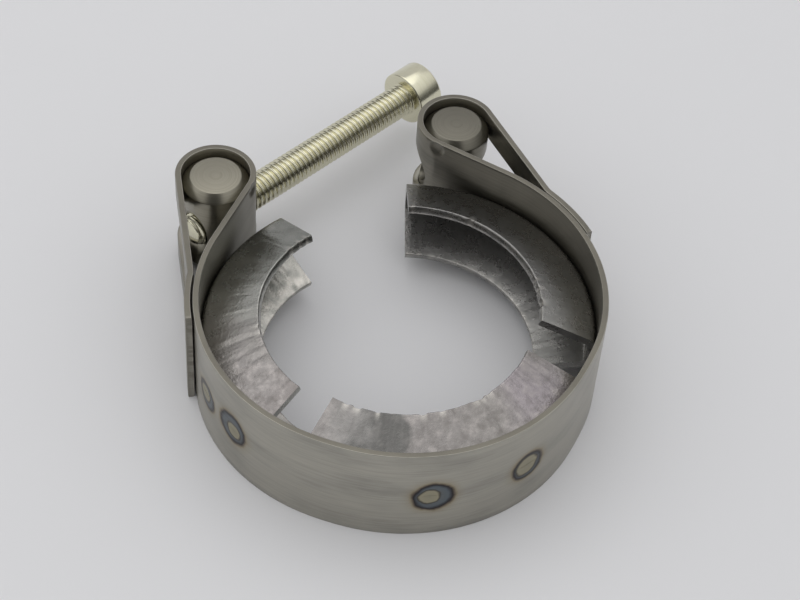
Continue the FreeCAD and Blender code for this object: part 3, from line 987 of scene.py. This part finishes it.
    def sunk(self, s: np.ndarray, z: np.ndarray, line: MiddleLine, left: bool) -> np.ndarray:
        """How far a face is pressed in: by the dimples on one face, by the welds on the other.

        Args:
            s: distances along the strip.
            z: heights.
            line: the strip's middle line.
            left: whether it is the face to the left of the middle line.

        Returns:
            The depth, in the shape of the distances and heights together.
        """
        if left:
            spots = [(spot, self.clamp.width - self.dimple_drop) for spot in self.dimples(line)]
            depth, radius = self.dimple_depth, self.dimple_radius
        else:
            spots = [(weld.along, weld.height) for weld in self.welds]
            depth, radius = self.dent_depth, self.dent_radius
        return sum(depth * hollow(np.hypot(s - along, z - height), radius)
                   for along, height in spots)

    def section(self, s: np.ndarray, half: np.ndarray, line: MiddleLine,
                way: int) -> tuple[np.ndarray, np.ndarray]:
        """One half of the strip's cross section, at each station.

        It runs from the rounded rim up the left face to the rounded corner of the slot, and back
        along the right face to the rim.

        Args:
            s: distances along the strip.
            half: half the height of the slot there.
            line: the strip's middle line.
            way: 1 for the half below the slots, -1 for the half above them.

        Returns:
            How far to the left of the middle line each point of the section is at each station,
            and how high.
        """
        clamp, edge, thick = self.clamp, self.round_edge, self.clamp.thickness / 2
        rim, levels = (0.0, self.below) if way == 1 else (clamp.width, self.above)
        reach = np.abs(clamp.slot_middle - rim) - half
        soft = np.minimum(edge, half * 0.5)
        share = np.array(levels)[:, None] / levels[-1]
        heights = rim + way * (edge + share * (reach - soft - edge)[None, :])
        # How far in from the rim's plane each point of its rounding is, from 0 to 1.
        corner = (0.0, 0.134, 0.5)
        corner_z = [np.full(len(s), rim + way * edge * (1 - math.sqrt(1 - c * c))) for c in corner]
        sides, rises = [], []
        for left in (True, False):
            brink = thick - self.sunk(s, np.full(len(s), rim), line, left)
            face = thick - self.sunk(s[None, :], heights, line, left)
            side = np.array([*(brink - edge * (1 - c) for c in corner), *face,
                             thick - soft * 0.3, thick - soft])
            rise = np.array([*corner_z, *heights,
                             rim + way * (reach - soft * 0.3), rim + way * reach])
            turn = 1 if left else -1
            sides.append(turn * side[::turn])
            rises.append(rise[::turn])
        return np.concatenate(sides), np.concatenate(rises)

    def build(self) -> bpy.types.Object:
        """Make the strip's mesh.

        Each half, below and above the slots' middle, is a closed section carried along the strip:
        rim, face, slot wall, face. The walls are left out where there is no slot, and each tail
        ends in a flat cap. The "side" value is -1 at the rims and 1 on the outer face.

        Returns:
            The strip.
        """
        line = self.clamp.middle_line()
        s = self.stations(line)
        plan, normal = line.at(s)
        half = self.slot_half(s, line)
        open_wall = half > 1e-3
        shell = Shell("band_strip_sheet")
        for way in (1, -1):
            n, z = self.section(s, half, line, way)
            per_face = len(n) // 2
            points = np.empty((len(s), len(n), 3))
            points[..., :2] = plan[:, None, :] + n.T[..., None] * normal[:, None, :]
            points[..., 2] = z.T
            uv = np.stack([np.broadcast_to(s[:, None], z.T.shape), z.T], axis=-1)
            side = np.repeat([0.0, 1.0], per_face)
            side[[0, -1]] = -1.0
            kept = np.ones((len(s) - 1, len(n)), bool)
            kept[:, per_face - 1] = open_wall[:-1] | open_wall[1:]
            shell.grid(points, uv, side[None, :], wrap=True, flip=way == -1, keep=kept)
            for row in (0, -1):
                cap, cap_uv = (np.stack([rows[row][:per_face], rows[row][per_face:][::-1]])
                               for rows in (points, uv))
                shell.grid(cap, cap_uv, 0.0, flip=(row == 0) == (way == 1))
        return shell.build()


# --- retainers --------------------------------------------------------------------------------

@dataclass(frozen=True)
class Wear:
    """What use has left on one retainer.

    Attributes:
        seed: seed of its dents.
        dents: how many bright dents lie along its upper lip.
        waviness: how far its lips stray, in millimetres.
        polish_and_highlight: how bright its lips are, from 0 to 1: worn bright in use, with a
            painted highlight.
        rubbed_and_lit: how bright its lower flange is, from 0 to 1: worn in use, and painted light.
    """

    seed: int
    dents: int
    waviness: float
    polish_and_highlight: float
    rubbed_and_lit: float


@dataclass
class Retainer(Piece):
    """A V section retainer, folded and rolled, with worn lips. Sizes in millimetres, degrees.

    Attributes:
        centre: the centre of its bend, in plan.
        angle: the way its middle faces.
        height: height of its web's middle.
        wear: what use has left on it.
        ring_inside: radius of the strip's inner face, which its web lies against.
        thickness: of its sheet.
        bend: radius of its two folds, at the middle of the sheet.
        web: height of the flat between the folds.
        slope: how far its flanges lean from level.
        flange: length of a flange past its fold.
        sweep: how far round the ring it goes.
        round_edge: how far the rounding of a lip stands out.
        rolled: the radius at which lengths along it are measured.
        dent_zone: radius at which dents in the lip begin, and the way over which they deepen.
        polish_zone: the same for the lips' brightening, which is wear with a painted highlight.
    """

    centre: np.ndarray
    angle: float
    height: float
    wear: Wear
    ring_inside: float = 35.8
    thickness: float = 1.6
    bend: float = 1.6
    web: float = 3.54
    slope: float = 20.0
    flange: float = 10.03
    sweep: float = 100.0
    round_edge: float = 0.15
    rolled: float = 30.0
    dent_zone: tuple[float, float] = (26.4, 1.6)
    polish_zone: tuple[float, float] = (25.1, 0.5)

    @property
    def lean(self) -> np.ndarray:
        """The unit way up the upper flange, as radius and height."""
        slope = math.radians(self.slope)
        return np.array([-math.cos(slope), math.sin(slope)])

    def face(self, radius: float) -> np.ndarray:
        """One face of the folded section, from lower lip to upper lip.

        It is half of the web, an arc, and a straight flange that stops short of the rounded lip,
        and then the same mirrored.

        Args:
            radius: the radius of this face in the folds.

        Returns:
            The radius and height of each point.
        """
        corner = np.array([self.ring_inside - self.thickness / 2 - self.bend, self.web / 2])
        turn = np.radians(np.linspace(0, 90 - self.slope, 8))
        bend = corner + radius * np.stack([np.cos(turn), np.sin(turn)], axis=-1)
        # The rows are closer together towards the lip, where the wear is.
        steps = np.array([0.15, 0.3, 0.45, 0.6, 0.72, 0.8, 0.86, 0.91, 0.95, 0.98, 1.0])
        flange = bend[-1] + (self.flange - self.round_edge) * steps[:, None] * self.lean
        upper = np.concatenate([bend, flange])
        return np.concatenate([upper[::-1] * [1, -1], upper])

    def section(self) -> tuple[np.ndarray, int, int]:
        """The folded section: outer face, upper lip, inner face, lower lip.

        Returns:
            The radius and height of each point, and the numbers of points in a face and a lip.
        """
        half = self.thickness / 2
        outer, inner = self.face(self.bend + half), self.face(self.bend - half)
        middle, across = (outer + inner) / 2, (outer - inner) / self.thickness
        # A lip is an oval that would meet the faces at 75 degrees and stops a little before.
        turn, meets = np.radians([-60, -25, 25, 60])[:, None], math.sin(math.radians(75))
        upper, lower = (middle[k] + self.lean * [1, sign] * (self.round_edge * np.cos(turn))
                        + across[k] * (half * np.sin(turn) / meets)
                        for k, sign in ((-1, 1), (0, -1)))
        return np.concatenate([outer, upper[::-1], inner[::-1], lower]), len(outer), len(turn)

    def worn(self, section: np.ndarray,
             run: np.ndarray) -> tuple[np.ndarray, np.ndarray, np.ndarray]:
        """Wear the fold: lips that stray, dents in the upper lip, and brighter places, partly from
        wear and partly painted highlight and painted light.

        A lip strays by a slow wave and a fine one, more the nearer it is to the axis.

        Args:
            section: radius and height of each point of the section.
            run: the stations' distances along the retainer, as a column.

        Returns:
            The radius, the height, and the brightness from 0 to 1, of each point at each station.
        """
        wear = self.wear
        reach, level = section[:, 0][None, :], section[:, 1][None, :]
        inward = np.clip((self.ring_inside - 4 - reach) / 8, 0, 1)
        slow = wear.waviness * ripple(run, np.sign(level) * 9.0, 9.0, wear.seed)
        fine = 0.35 * wear.waviness * ripple(run, np.sign(level) * 5.0, 2.2, wear.seed + 1)
        radius = reach - (slow + fine) * inward ** 3
        height = level + 0.5 * slow * inward ** 2
        shine = np.zeros_like(radius)
        starts, over = self.dent_zone
        at_lip = np.clip((starts - reach) / over, 0, 1) * (level > 0)
        rng = np.random.default_rng(wear.seed)
        for _ in range(wear.dents):
            where, size = rng.uniform(run[0, 0], run[-1, 0]), rng.uniform(0.5, 1.5)
            depth = rng.uniform(0.08, 0.25) * size
            near = hollow(np.abs(run - where), size) * at_lip
            radius = radius + depth * near
            height = height - 0.7 * depth * near
            shine = np.maximum(shine, near)
        # The lips are brightened partly by wear and partly as a painted highlight, most on the
        # right retainer.
        starts, over = self.polish_zone
        polish_and_highlight = np.clip((starts - reach) / over, 0, 1) * wear.polish_and_highlight
        polish_and_highlight = polish_and_highlight * (0.5 + 0.5 * ripple(run, level, 3.0, wear.seed + 2))
        # The lower flange is brightened partly by wear and partly as painted light.
        rubbed_and_lit = (level < 0) * np.sqrt(inward) * wear.rubbed_and_lit
        rubbed_and_lit = rubbed_and_lit * (0.65 + 0.5 * ripple(run, reach, 2.6, wear.seed + 3))
        shine = np.clip(np.maximum(np.maximum(0.6 * shine, polish_and_highlight), rubbed_and_lit), 0, 1)
        return radius, height, shine

    def build(self) -> bpy.types.Object:
        """Make the retainer's mesh: the worn section carried round the axis, and two end caps.

        Returns:
            The retainer.
        """
        stations, cap_shine, crease = 221, 0.1, 50.0
        section, face, lip = self.section()
        angles = np.linspace(-self.sweep / 2, self.sweep / 2, stations)[:, None]
        run = np.radians(angles) * self.rolled
        radius, height, shine = self.worn(section, run)
        turn = np.radians(angles + self.angle)
        points = np.stack([self.centre[0] + radius * np.cos(turn),
                           self.centre[1] + radius * np.sin(turn),
                           self.height + height], axis=-1)
        along = np.concatenate([[0], np.cumsum(np.linalg.norm(np.diff(section, axis=0), axis=1))])
        uv = np.stack(np.broadcast_arrays(run, along[None, :]), axis=-1)
        shell = Shell(f"{self.name}_fold")
        shell.grid(points, uv, shine, wrap=True)
        for row in (0, -1):
            ring, flip = points[row], row == -1
            outer, inner = ring[:face], ring[face + lip:2 * face + lip][::-1]
            # The cap joins the two faces point by point, and the lips' rounded edges by fans.
            shell.grid(np.stack([outer, inner]), None, cap_shine, flip=flip)
            for edge, ends in ((ring[face:face + lip], (outer[-1], inner[-1])),
                               (ring[2 * face + lip:], (inner[0], outer[0]))):
                brim = np.stack([ends[0], *edge, ends[1]])
                hub = np.broadcast_to((ends[0] + ends[1]) / 2, brim.shape)
                shell.grid(np.stack([brim, hub]), None, cap_shine, flip=flip)
        return shell.build(crease)


# --- turned pieces ----------------------------------------------------------------------------

def turned(name: str, profile: np.ndarray, sides: int = 128) -> Shell:
    """Turn an outline about the third axis.

    Args:
        name: the piece's name.
        profile: rows of distance along the axis and radius, from one end to the other.
        sides: how many sides the round has.

    Returns:
        Its surface, whose flat coordinates are the run along the outline and the angle.
    """
    angle = np.linspace(0, 2 * math.pi, sides, endpoint=False)[None, :]
    along, radius = profile[:, :1], profile[:, 1:]
    points = np.stack(np.broadcast_arrays(radius * np.cos(angle), radius * np.sin(angle), along),
                      axis=-1)
    steps = np.linalg.norm(np.diff(profile, axis=0), axis=1)
    run = np.concatenate([[0], np.cumsum(steps)])[:, None]
    uv = np.stack(np.broadcast_arrays(run, np.degrees(angle) / DEGREES_PER_MM), axis=-1)
    shell = Shell(name)
    shell.grid(points, uv, 0.0, wrap=True)
    return shell


def rounded(corners: list[tuple[float, float]], radius: float, steps: int = 4) -> np.ndarray:
    """Round the inner corners of an outline with quadratic curves.

    Args:
        corners: the outline's points.
        radius: how far from a corner its curve starts, or less on a short side.
        steps: how many points a curve has.

    Returns:
        The points of the rounded outline.
    """
    points = [np.array(corners[0], float)]
    for before, corner, after in zip(corners, corners[1:], corners[2:]):
        before, corner, after = (np.array(v, float) for v in (before, corner, after))
        one, two = before - corner, after - corner
        size = min(radius, 0.4 * np.linalg.norm(one), 0.4 * np.linalg.norm(two))
        start = corner + one / np.linalg.norm(one) * size
        finish = corner + two / np.linalg.norm(two) * size
        for t in np.linspace(0, 1, steps):
            points.append((1 - t) ** 2 * start + 2 * t * (1 - t) * corner + t ** 2 * finish)
    points.append(np.array(corners[-1], float))
    return np.array(points)


@dataclass
class Trunnion(Piece):
    """A round bar across a loop, bevelled at both ends, with a hole across it.

    Attributes:
        centre: its axis, in plan. All its sizes are in millimetres.
        turn: the way its hole points, in degrees.
        bore: radius of the hole.
        mouth: radius of the hole where it comes out.
        spot_face: radius of the flat sunk for the screw's head, if it has one.
        spot_level: how far from the axis that flat lies.
        radius, length: of the bar.
        lift: height of its lower end.
        bevel: width of the bevels at its ends.
        soft: how far its edges are rounded.
        hole_height: height of the hole's axis.
    """

    centre: np.ndarray
    turn: float
    bore: float
    mouth: float
    spot_face: float | None = None
    spot_level: float = 4.8
    radius: float = 6.7
    length: float = 21.6
    lift: float = 0.7
    bevel: float = 1.65
    soft: float = 0.14
    hole_height: float = 10.9

    def build(self) -> bpy.types.Object:
        """Make the bar's mesh and cut its hole.

        Returns:
            The bar.
        """
        half, rim = self.length / 2, self.radius - self.bevel
        shoulder, crease = half - self.bevel, 30.0
        outline = rounded([(-half, 0.0), (-half, rim), (-shoulder, self.radius),
                           (shoulder, self.radius), (half, rim), (half, 0.0)], self.soft)
        bar = turned(f"{self.name}_bar", outline).build()
        drop = Matrix.Translation((0, 0, (self.hole_height - self.lift - half) * METRES))
        for number, drill in enumerate(self.drills()):
            tool = drill.build()
            tool.data.transform(drop @ Matrix.Rotation(math.radians(90), 4, "Y"))
            cut = bar.modifiers.new(f"hole_{number}", "BOOLEAN")
            cut.operation, cut.solver, cut.object = "DIFFERENCE", "EXACT", tool
            self.bake(bar)
            bpy.data.objects.remove(tool)
        stand = [value * METRES for value in (*self.centre, self.lift + half)]
        bar.data.transform(Matrix.Translation(stand)
                           @ Matrix.Rotation(math.radians(self.turn), 4, "Z"))
        Shell.tidy(bar, crease)
        return bar

    def drills(self) -> list[Shell]:
        """The shapes that the hole takes away, along their own axis.

        Returns:
            A drill that widens at both mouths, and the cutter of the spot face if it has one.
        """
        reach, sides = self.radius + 1.0, 64
        start = self.radius - (self.mouth - self.bore) / 2
        wide = self.mouth + (reach - self.radius) * 2
        shapes = [turned(f"{self.name}_drill", np.array([
            (-reach, 0.0), (-reach, wide), (-start, self.bore), (start, self.bore),
            (reach, wide), (reach, 0.0)]), sides)]
        if self.spot_face is not None:
            shapes.append(turned(f"{self.name}_facing", np.array([
                (self.spot_level, 0.0), (self.spot_level, self.spot_face),
                (reach, self.spot_face), (reach, 0.0)]), sides))
        return shapes

    @staticmethod
    def bake(piece: bpy.types.Object) -> None:
        """Replace an object's mesh by what its modifiers make of it.

        Args:
            piece: the object.
        """
        graph = bpy.context.evaluated_depsgraph_get()
        mesh = bpy.data.meshes.new_from_object(piece.evaluated_get(graph))
        piece.modifiers.clear()
        old, piece.data = piece.data, mesh
        bpy.data.meshes.remove(old)


@dataclass
class Screw(Piece):
    """The socket head screw: rolled thread over the whole shank, and a turned head.

    Attributes:
        start: where its axis crosses the tapped trunnion's, in plan. Sizes are in millimetres.
        turn: the way its head points, in degrees.
        height: height of its axis.
        tip: how far the tip is past that crossing.
        shank: length under the head.
        crest, root: radii of the thread.
        pitch: of the thread.
        crest_flat, flank: shares of half a pitch that the crest and the flank take.
        fullness: below one, the power that widens the groove's bottom.
        point: how much smaller the tip's radius is than the crest's.
        head_radius, head_length: of the head.
        hexagon, socket: the socket's width across flats and its depth.
    """

    start: np.ndarray
    turn: float
    height: float = 10.9
    tip: float = 7.0
    shank: float = 59.4
    crest: float = 3.42
    root: float = 2.84
    pitch: float = 1.16
    crest_flat: float = 0.14
    flank: float = 0.68
    fullness: float = 0.9
    point: float = 0.85
    head_radius: float = 5.75
    head_length: float = 6.2
    hexagon: float = 5.75
    socket: float = 3.4

    def thread(self, along: np.ndarray, angle: np.ndarray) -> np.ndarray:
        """The radius of the thread, a true helix.

        The phase grows by one for each pitch along the axis and falls by one for each turn, and
        the radius falls from crest to root as a half cosine wave of it.

        Args:
            along: distances along the axis, as a column.
            angle: angles about the axis, as a row.

        Returns:
            The radius at each.
        """
        phase = (along / self.pitch - angle / (2 * math.pi)) % 1.0
        slope = np.clip((np.abs(phase - 0.5) * 2 - self.crest_flat) / self.flank, 0, 1)
        depth = (0.5 - 0.5 * np.cos(math.pi * slope)) ** self.fullness
        return self.crest - (self.crest - self.root) * depth

    def build(self) -> bpy.types.Object:
        """Make the screw's mesh, from its tip to the bottom of its socket.

        Each row of the grid is a distance along the axis and a radius for each angle round it.

        Returns:
            The screw.
        """
        sides, turn_steps, soft, crease = 48, 14, 0.4, 60.0
        shank, top = self.shank, self.shank + self.head_length
        angle = np.linspace(0, 2 * math.pi, sides, endpoint=False)[None, :]
        along = np.concatenate([[0.0], spaced(0.0, shank - 0.25, self.pitch / turn_steps)])[:, None]
        radius = np.minimum(self.thread(along, angle), self.crest - self.point + along)
        radius[0] = 0.0
        # A small fillet leads under the head, and the head's edges are rounded.
        neck = [(shank - 0.1, 3.36), (shank, 3.5), (shank, 3.8)]
        outline = rounded([(shank, 3.8), (shank, self.head_radius), (top, self.head_radius),
                           (top, 4.1)], soft)
        rows = [np.stack(np.broadcast_arrays(along, radius), axis=-1)]
        rows += [np.broadcast_to(row, (1, sides, 2)) for row in (*neck, *outline[1:])]
        # The socket: a bevelled mouth, six flats, and the cone of the drill that began it.
        six = (angle + math.pi / 6) % (math.pi / 3) - math.pi / 6
        flats = self.hexagon / 2 / np.cos(six)
        rows += [np.stack([np.full_like(flats, top - depth), flats * scale], axis=-1)
                 for depth, scale in ((0.0, 1.05), (0.15, 1.0), (self.socket, 1.0),
                                      (self.socket, 0.9), (self.socket + 0.9, 0.0))]
        grid = np.concatenate(rows)
        length, side = grid[..., 0] - self.tip, grid[..., 1] * np.cos(angle)
        cos, sin = math.cos(math.radians(self.turn)), math.sin(math.radians(self.turn))
        placed = np.stack([self.start[0] + length * cos - side * sin,
                           self.start[1] + length * sin + side * cos,
                           self.height + grid[..., 1] * np.sin(angle)], axis=-1)
        run = np.concatenate([[0], np.cumsum(np.linalg.norm(np.diff(grid[:, 0], axis=0), axis=1))])
        uv = np.stack(np.broadcast_arrays(run[:, None], np.degrees(angle) / DEGREES_PER_MM),
                      axis=-1)
        shell = Shell("screw_thread_and_head")
        shell.grid(placed, uv, 0.0, wrap=True, flip=True)
        return shell.build(crease)


# --- studio -----------------------------------------------------------------------------------

@dataclass(frozen=True)
class Softbox:
    """A rectangular light.

    Attributes:
        name: the light's name.
        place, target: where it is and where it looks, in metres.
        width, depth: its size in metres.
        power: its power in watts.
    """

    name: str
    place: tuple[float, float, float]
    target: tuple[float, float, float]
    width: float
    depth: float
    power: float

    def add(self) -> None:
        """Put the light in the scene."""
        data = bpy.data.lights.new(self.name, "AREA")
        data.shape, data.size, data.size_y = "RECTANGLE", self.width, self.depth
        data.energy = self.power
        lamp = bpy.data.objects.new(self.name, data)
        bpy.context.scene.collection.objects.link(lamp)
        way = Vector(self.target) - Vector(self.place)
        lamp.matrix_world = (Matrix.Translation(self.place)
                             @ way.to_track_quat("-Z", "Y").to_matrix().to_4x4())


@dataclass
class Studio:
    """The table, the backdrop, the lights and the camera.

    Attributes:
        lights: the lamps.
        paper: the colour of the table.
        front, back, half_width: how far the table goes, in millimetres.
        near: where the object's part of it begins, in millimetres.
        rise: radius of the curve that turns it up, in millimetres.
        top: height of the backdrop, in millimetres.
        fill: the light that matt surfaces get from all round.
        room: what the metals reflect, from below the horizon to overhead, as linear greys.
        figure: the way to the dark figure that they reflect.
        figure_size: the cosines at which the figure is no longer dark and fully dark.
        camera_place: in metres.
        yaw, pitch, roll: the camera's angles, in degrees.
        lens, film: the camera's focal length and width of film, in millimetres.
    """

    lights: tuple[Softbox, ...] = (
        Softbox("overhead", (-0.15, 0.25, 0.75), (0.0, 0.02, 0.0), 0.9, 0.6, 0.8),
        Softbox("left_window", (-0.8, -0.1, 0.45), (0.0, 0.0, 0.0), 0.5, 0.5, 0.3),
    )
    paper: str = "#E6E6E8"
    front: float = -700.0
    near: float = -300.0
    back: float = 500.0
    half_width: float = 1500.0
    rise: float = 300.0
    top: float = 900.0
    fill: str = "#E0E0E0"
    room: tuple[tuple[float, float], ...] = (
        (0.0, 0.03), (0.30, 0.11), (0.45, 0.26), (0.60, 0.62), (0.80, 0.84), (1.0, 1.0))
    figure: tuple[float, float, float] = (0.0, -0.74, 0.67)
    figure_size: tuple[float, float] = (0.90, 0.94)
    camera_place: tuple[float, float, float] = (0.0, -0.248922, 0.301041)
    yaw: float = -0.13615
    pitch: float = 48.18572
    roll: float = 4.56064
    lens: float = 89.96882
    film: float = 36.0

    def floor(self) -> None:
        """Lay the pale table and bend it up, by a quarter circle, into the backdrop."""
        turn = np.radians(np.linspace(10, 90, 9))
        level = np.concatenate([[self.front], np.linspace(self.near, self.back, 9)])
        depth = np.concatenate([level, self.back + self.rise * np.sin(turn),
                                [self.back + self.rise]])
        height = np.concatenate([np.zeros_like(level), self.rise * (1 - np.cos(turn)), [self.top]])
        across = np.array([-self.half_width, self.half_width])
        shell = Shell("table")
        shell.grid(np.stack(np.broadcast_arrays(across[None, :], depth[:, None], height[:, None]),
                            axis=-1))
        table = shell.build()
        # Matt white paper: it takes a soft shadow and gives no highlight.
        material = bpy.data.materials.new("table_paper")
        material.use_nodes = True
        shader = material.node_tree.nodes["Principled BSDF"]
        shader.inputs["Base Color"].default_value = linear(self.paper)
        shader.inputs["Roughness"].default_value = 0.85
        table.data.materials.append(material)

    def sky(self) -> None:
        """Give the room its light.

        Matt surfaces get an even light from all round. In the metals the room is bright overhead
        and dim towards the horizon, with one dark figure standing in front of the table.
        """
        world = bpy.data.worlds.new("room")
        world.use_nodes = True
        tree = world.node_tree
        background = tree.nodes["Background"]
        way = add_node(tree, "TexCoord").outputs["Generated"]
        split = add_node(tree, "SeparateXYZ", {"Vector": way})
        up = add_node(tree, "MapRange", {
            "Value": split.outputs["Z"], "From Min": -0.1, "From Max": 1.0})
        room = add_node(tree, "ValToRGB", {"Fac": up.outputs["Result"]},
                        [(at, grey(level)) for at, level in self.room])
        facing = add_node(tree, "VectorMath", {
            0: way, 1: tuple(Vector(self.figure).normalized())}, operation="DOT_PRODUCT")
        edge, core = self.figure_size
        clear = add_node(tree, "MapRange", {
            "Value": facing.outputs["Value"], "From Min": edge, "From Max": core,
            "To Min": 1.0, "To Max": 0.06})
        seen = add_node(tree, "Mix", {
            "Factor": clear.outputs["Result"], MIX_A: grey(0.0), MIX_B: room.outputs["Color"]},
            data_type="RGBA")
        rays = add_node(tree, "LightPath")
        colour = add_node(tree, "Mix", {
            "Factor": rays.outputs["Is Glossy Ray"], MIX_A: linear(self.fill),
            MIX_B: seen.outputs[MIXED]}, data_type="RGBA")
        tree.links.new(colour.outputs[MIXED], background.inputs["Color"])
        background.inputs["Strength"].default_value = 1.0
        bpy.context.scene.world = world

    def camera(self) -> None:
        """Place the camera from its angles."""
        yaw, pitch, roll = (math.radians(v) for v in (self.yaw, self.pitch, self.roll))
        forward = Vector((math.sin(yaw) * math.cos(pitch), math.cos(yaw) * math.cos(pitch),
                          -math.sin(pitch)))
        level = Vector((math.cos(yaw), -math.sin(yaw), 0.0))
        up = level.cross(forward)
        right = math.cos(roll) * level + math.sin(roll) * up
        upright = -math.sin(roll) * level + math.cos(roll) * up
        data = bpy.data.cameras.new("camera")
        data.lens, data.sensor_width = self.lens, self.film
        data.clip_start, data.clip_end = 0.01, 20.0
        camera = bpy.data.objects.new("camera", data)
        bpy.context.scene.collection.objects.link(camera)
        turn = Matrix((right, upright, -forward)).transposed()
        camera.matrix_world = Matrix.Translation(self.camera_place) @ turn.to_4x4()
        bpy.context.scene.camera = camera

    def build(self) -> None:
        """Put the whole studio in the scene."""
        self.floor()
        self.sky()
        for light in self.lights:
            light.add()
        self.camera()
        bpy.context.scene.view_settings.view_transform = "Standard"


# --- assembly ---------------------------------------------------------------------------------

def dress_band(clamp: Clamp) -> None:
    """Build the rolled strip and the three retainers that are welded into it.

    Args:
        clamp: the clamp's sizes.
    """
    line = clamp.middle_line()
    welds = [Scorch(line.on_bend(Part.LEFT_ARC, 208.4), 11.1, (-0.4, 0.2), 0.86, 1.25),
             Scorch(line.on_bend(Part.LEFT_ARC, 223.2), 11.7, (0.5, -0.4), 0.98, 1.0),
             Scorch(line.on_bend(Part.FRONT_ARC, 282.8), 11.1, (-0.7, 0.1), 1.0, 1.05),
             Scorch(line.on_bend(Part.FRONT_ARC, 312.5), 11.2, (-0.15, 0.2), 0.92, 1.42)]
    # Cold rolled stainless steel: a satin sheen, warm grey, streaked along the strip.
    BandStrip("band_strip", "band_steel", "band", clamp, welds).dress(
        RolledStrip("satin rolled strip", "#A9A69D", 0.35).material(welds))

    # Plain rolled steel, pitted in use: pale at the middle, and mottled towards the front.
    # Its lower flange is brightened, partly by wear and partly as painted light.
    Retainer("retainer_left", "pitted_steel", "band", clamp.left.centre, 181.8, 10.8,
             Wear(11, 5, 0.08, 0.05, 1.0)).dress(
        WornSteel("worn retainer steel", "#8C8B86", 0.24, unevenness=0.7, tones=(
            (0.0, "#82837E", 0.18), (0.22, "#A2A39D", 0.12), (0.45, "#B8B8B2", 0.12),
            (0.62, "#A3A09C", 0.28), (0.82, "#918D8B", 0.55), (1.0, "#8A8583", 0.55))).material())
    # The same, with a smooth dark band across it and mottles of a faint purple either side.
    Retainer("retainer_front", "pitted_steel", "band", clamp.front.centre, -66.8, 12.5,
             Wear(23, 8, 0.12, 0.10, 0.2)).dress(
        WornSteel("worn retainer steel, front", "#968F8D", 0.25, unevenness=0.8, tones=(
            (0.0, "#8C8886", 0.40), (0.12, "#868482", 0.20), (0.17, "#6A6967", 0.10),
            (0.30, "#6C6B69", 0.12), (0.33, "#8F8B89", 0.50), (0.68, "#989491", 0.60),
            (0.86, "#A69FA2", 0.60), (1.0, "#94908D", 0.50))).material())
    # A darker piece of the same steel, smoother than the others and only faintly mottled.
    # Its lips carry a painted highlight along with their wear.
    Retainer("retainer_right", "dark_steel", "band", clamp.right.centre, 44.6, 11.3,
             Wear(37, 6, 0.08, 0.45, 0.0)).dress(
        WornSteel("dark retainer steel", "#5A5956", 0.28, unevenness=0.3, fleck="#B5B2AC",
                  pit="#3A3836", tones=(
            (0.0, "#A09F9B", 0.25), (0.30, "#8F8E8C", 0.20), (1.0, "#8A8987", 0.20))).material())


def dress_fastener(clamp: Clamp) -> None:
    """Build the two trunnions and the screw that draws them together.

    Args:
        clamp: the clamp's sizes.
    """
    # Bare steel from the lathe: a soft grey sheen in fine rings. One bar is darker.
    Trunnion("tapped_trunnion", "trunnion_steel", "tapped_trunnion", clamp.left_loop.centre,
             clamp.screw_turn, 3.5, 6.0).dress(
        TurnedSteel("turned trunnion steel", "#9A9689", 0.30, groove="#8E8A7D").material())
    Trunnion("plain_trunnion", "trunnion_steel", "plain_trunnion", clamp.right_loop.centre,
             2.0, 3.85, 3.86, spot_face=6.0).dress(
        TurnedSteel("turned trunnion steel, darker", "#7E7B71", 0.30, groove="#747167").material())
    # Steel plated with zinc: bright and smooth, with a faint yellow tinge.
    Screw("screw", "screw_zinc", "screw", clamp.left_loop.centre, clamp.screw_turn).dress(
        TurnedSteel("zinc plated screw", "#E2DFC9", 0.19, feed=0.12, groove="#D6D2B8").material())


def main() -> None:
    """Build the clamp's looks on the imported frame, and the studio round it."""
    logging.basicConfig(level=logging.INFO, format="%(name)s: %(message)s")
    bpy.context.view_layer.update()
    clamp = Clamp()
    dress_band(clamp)
    dress_fastener(clamp)
    Studio().build()


if __name__ == "__main__":
    main()
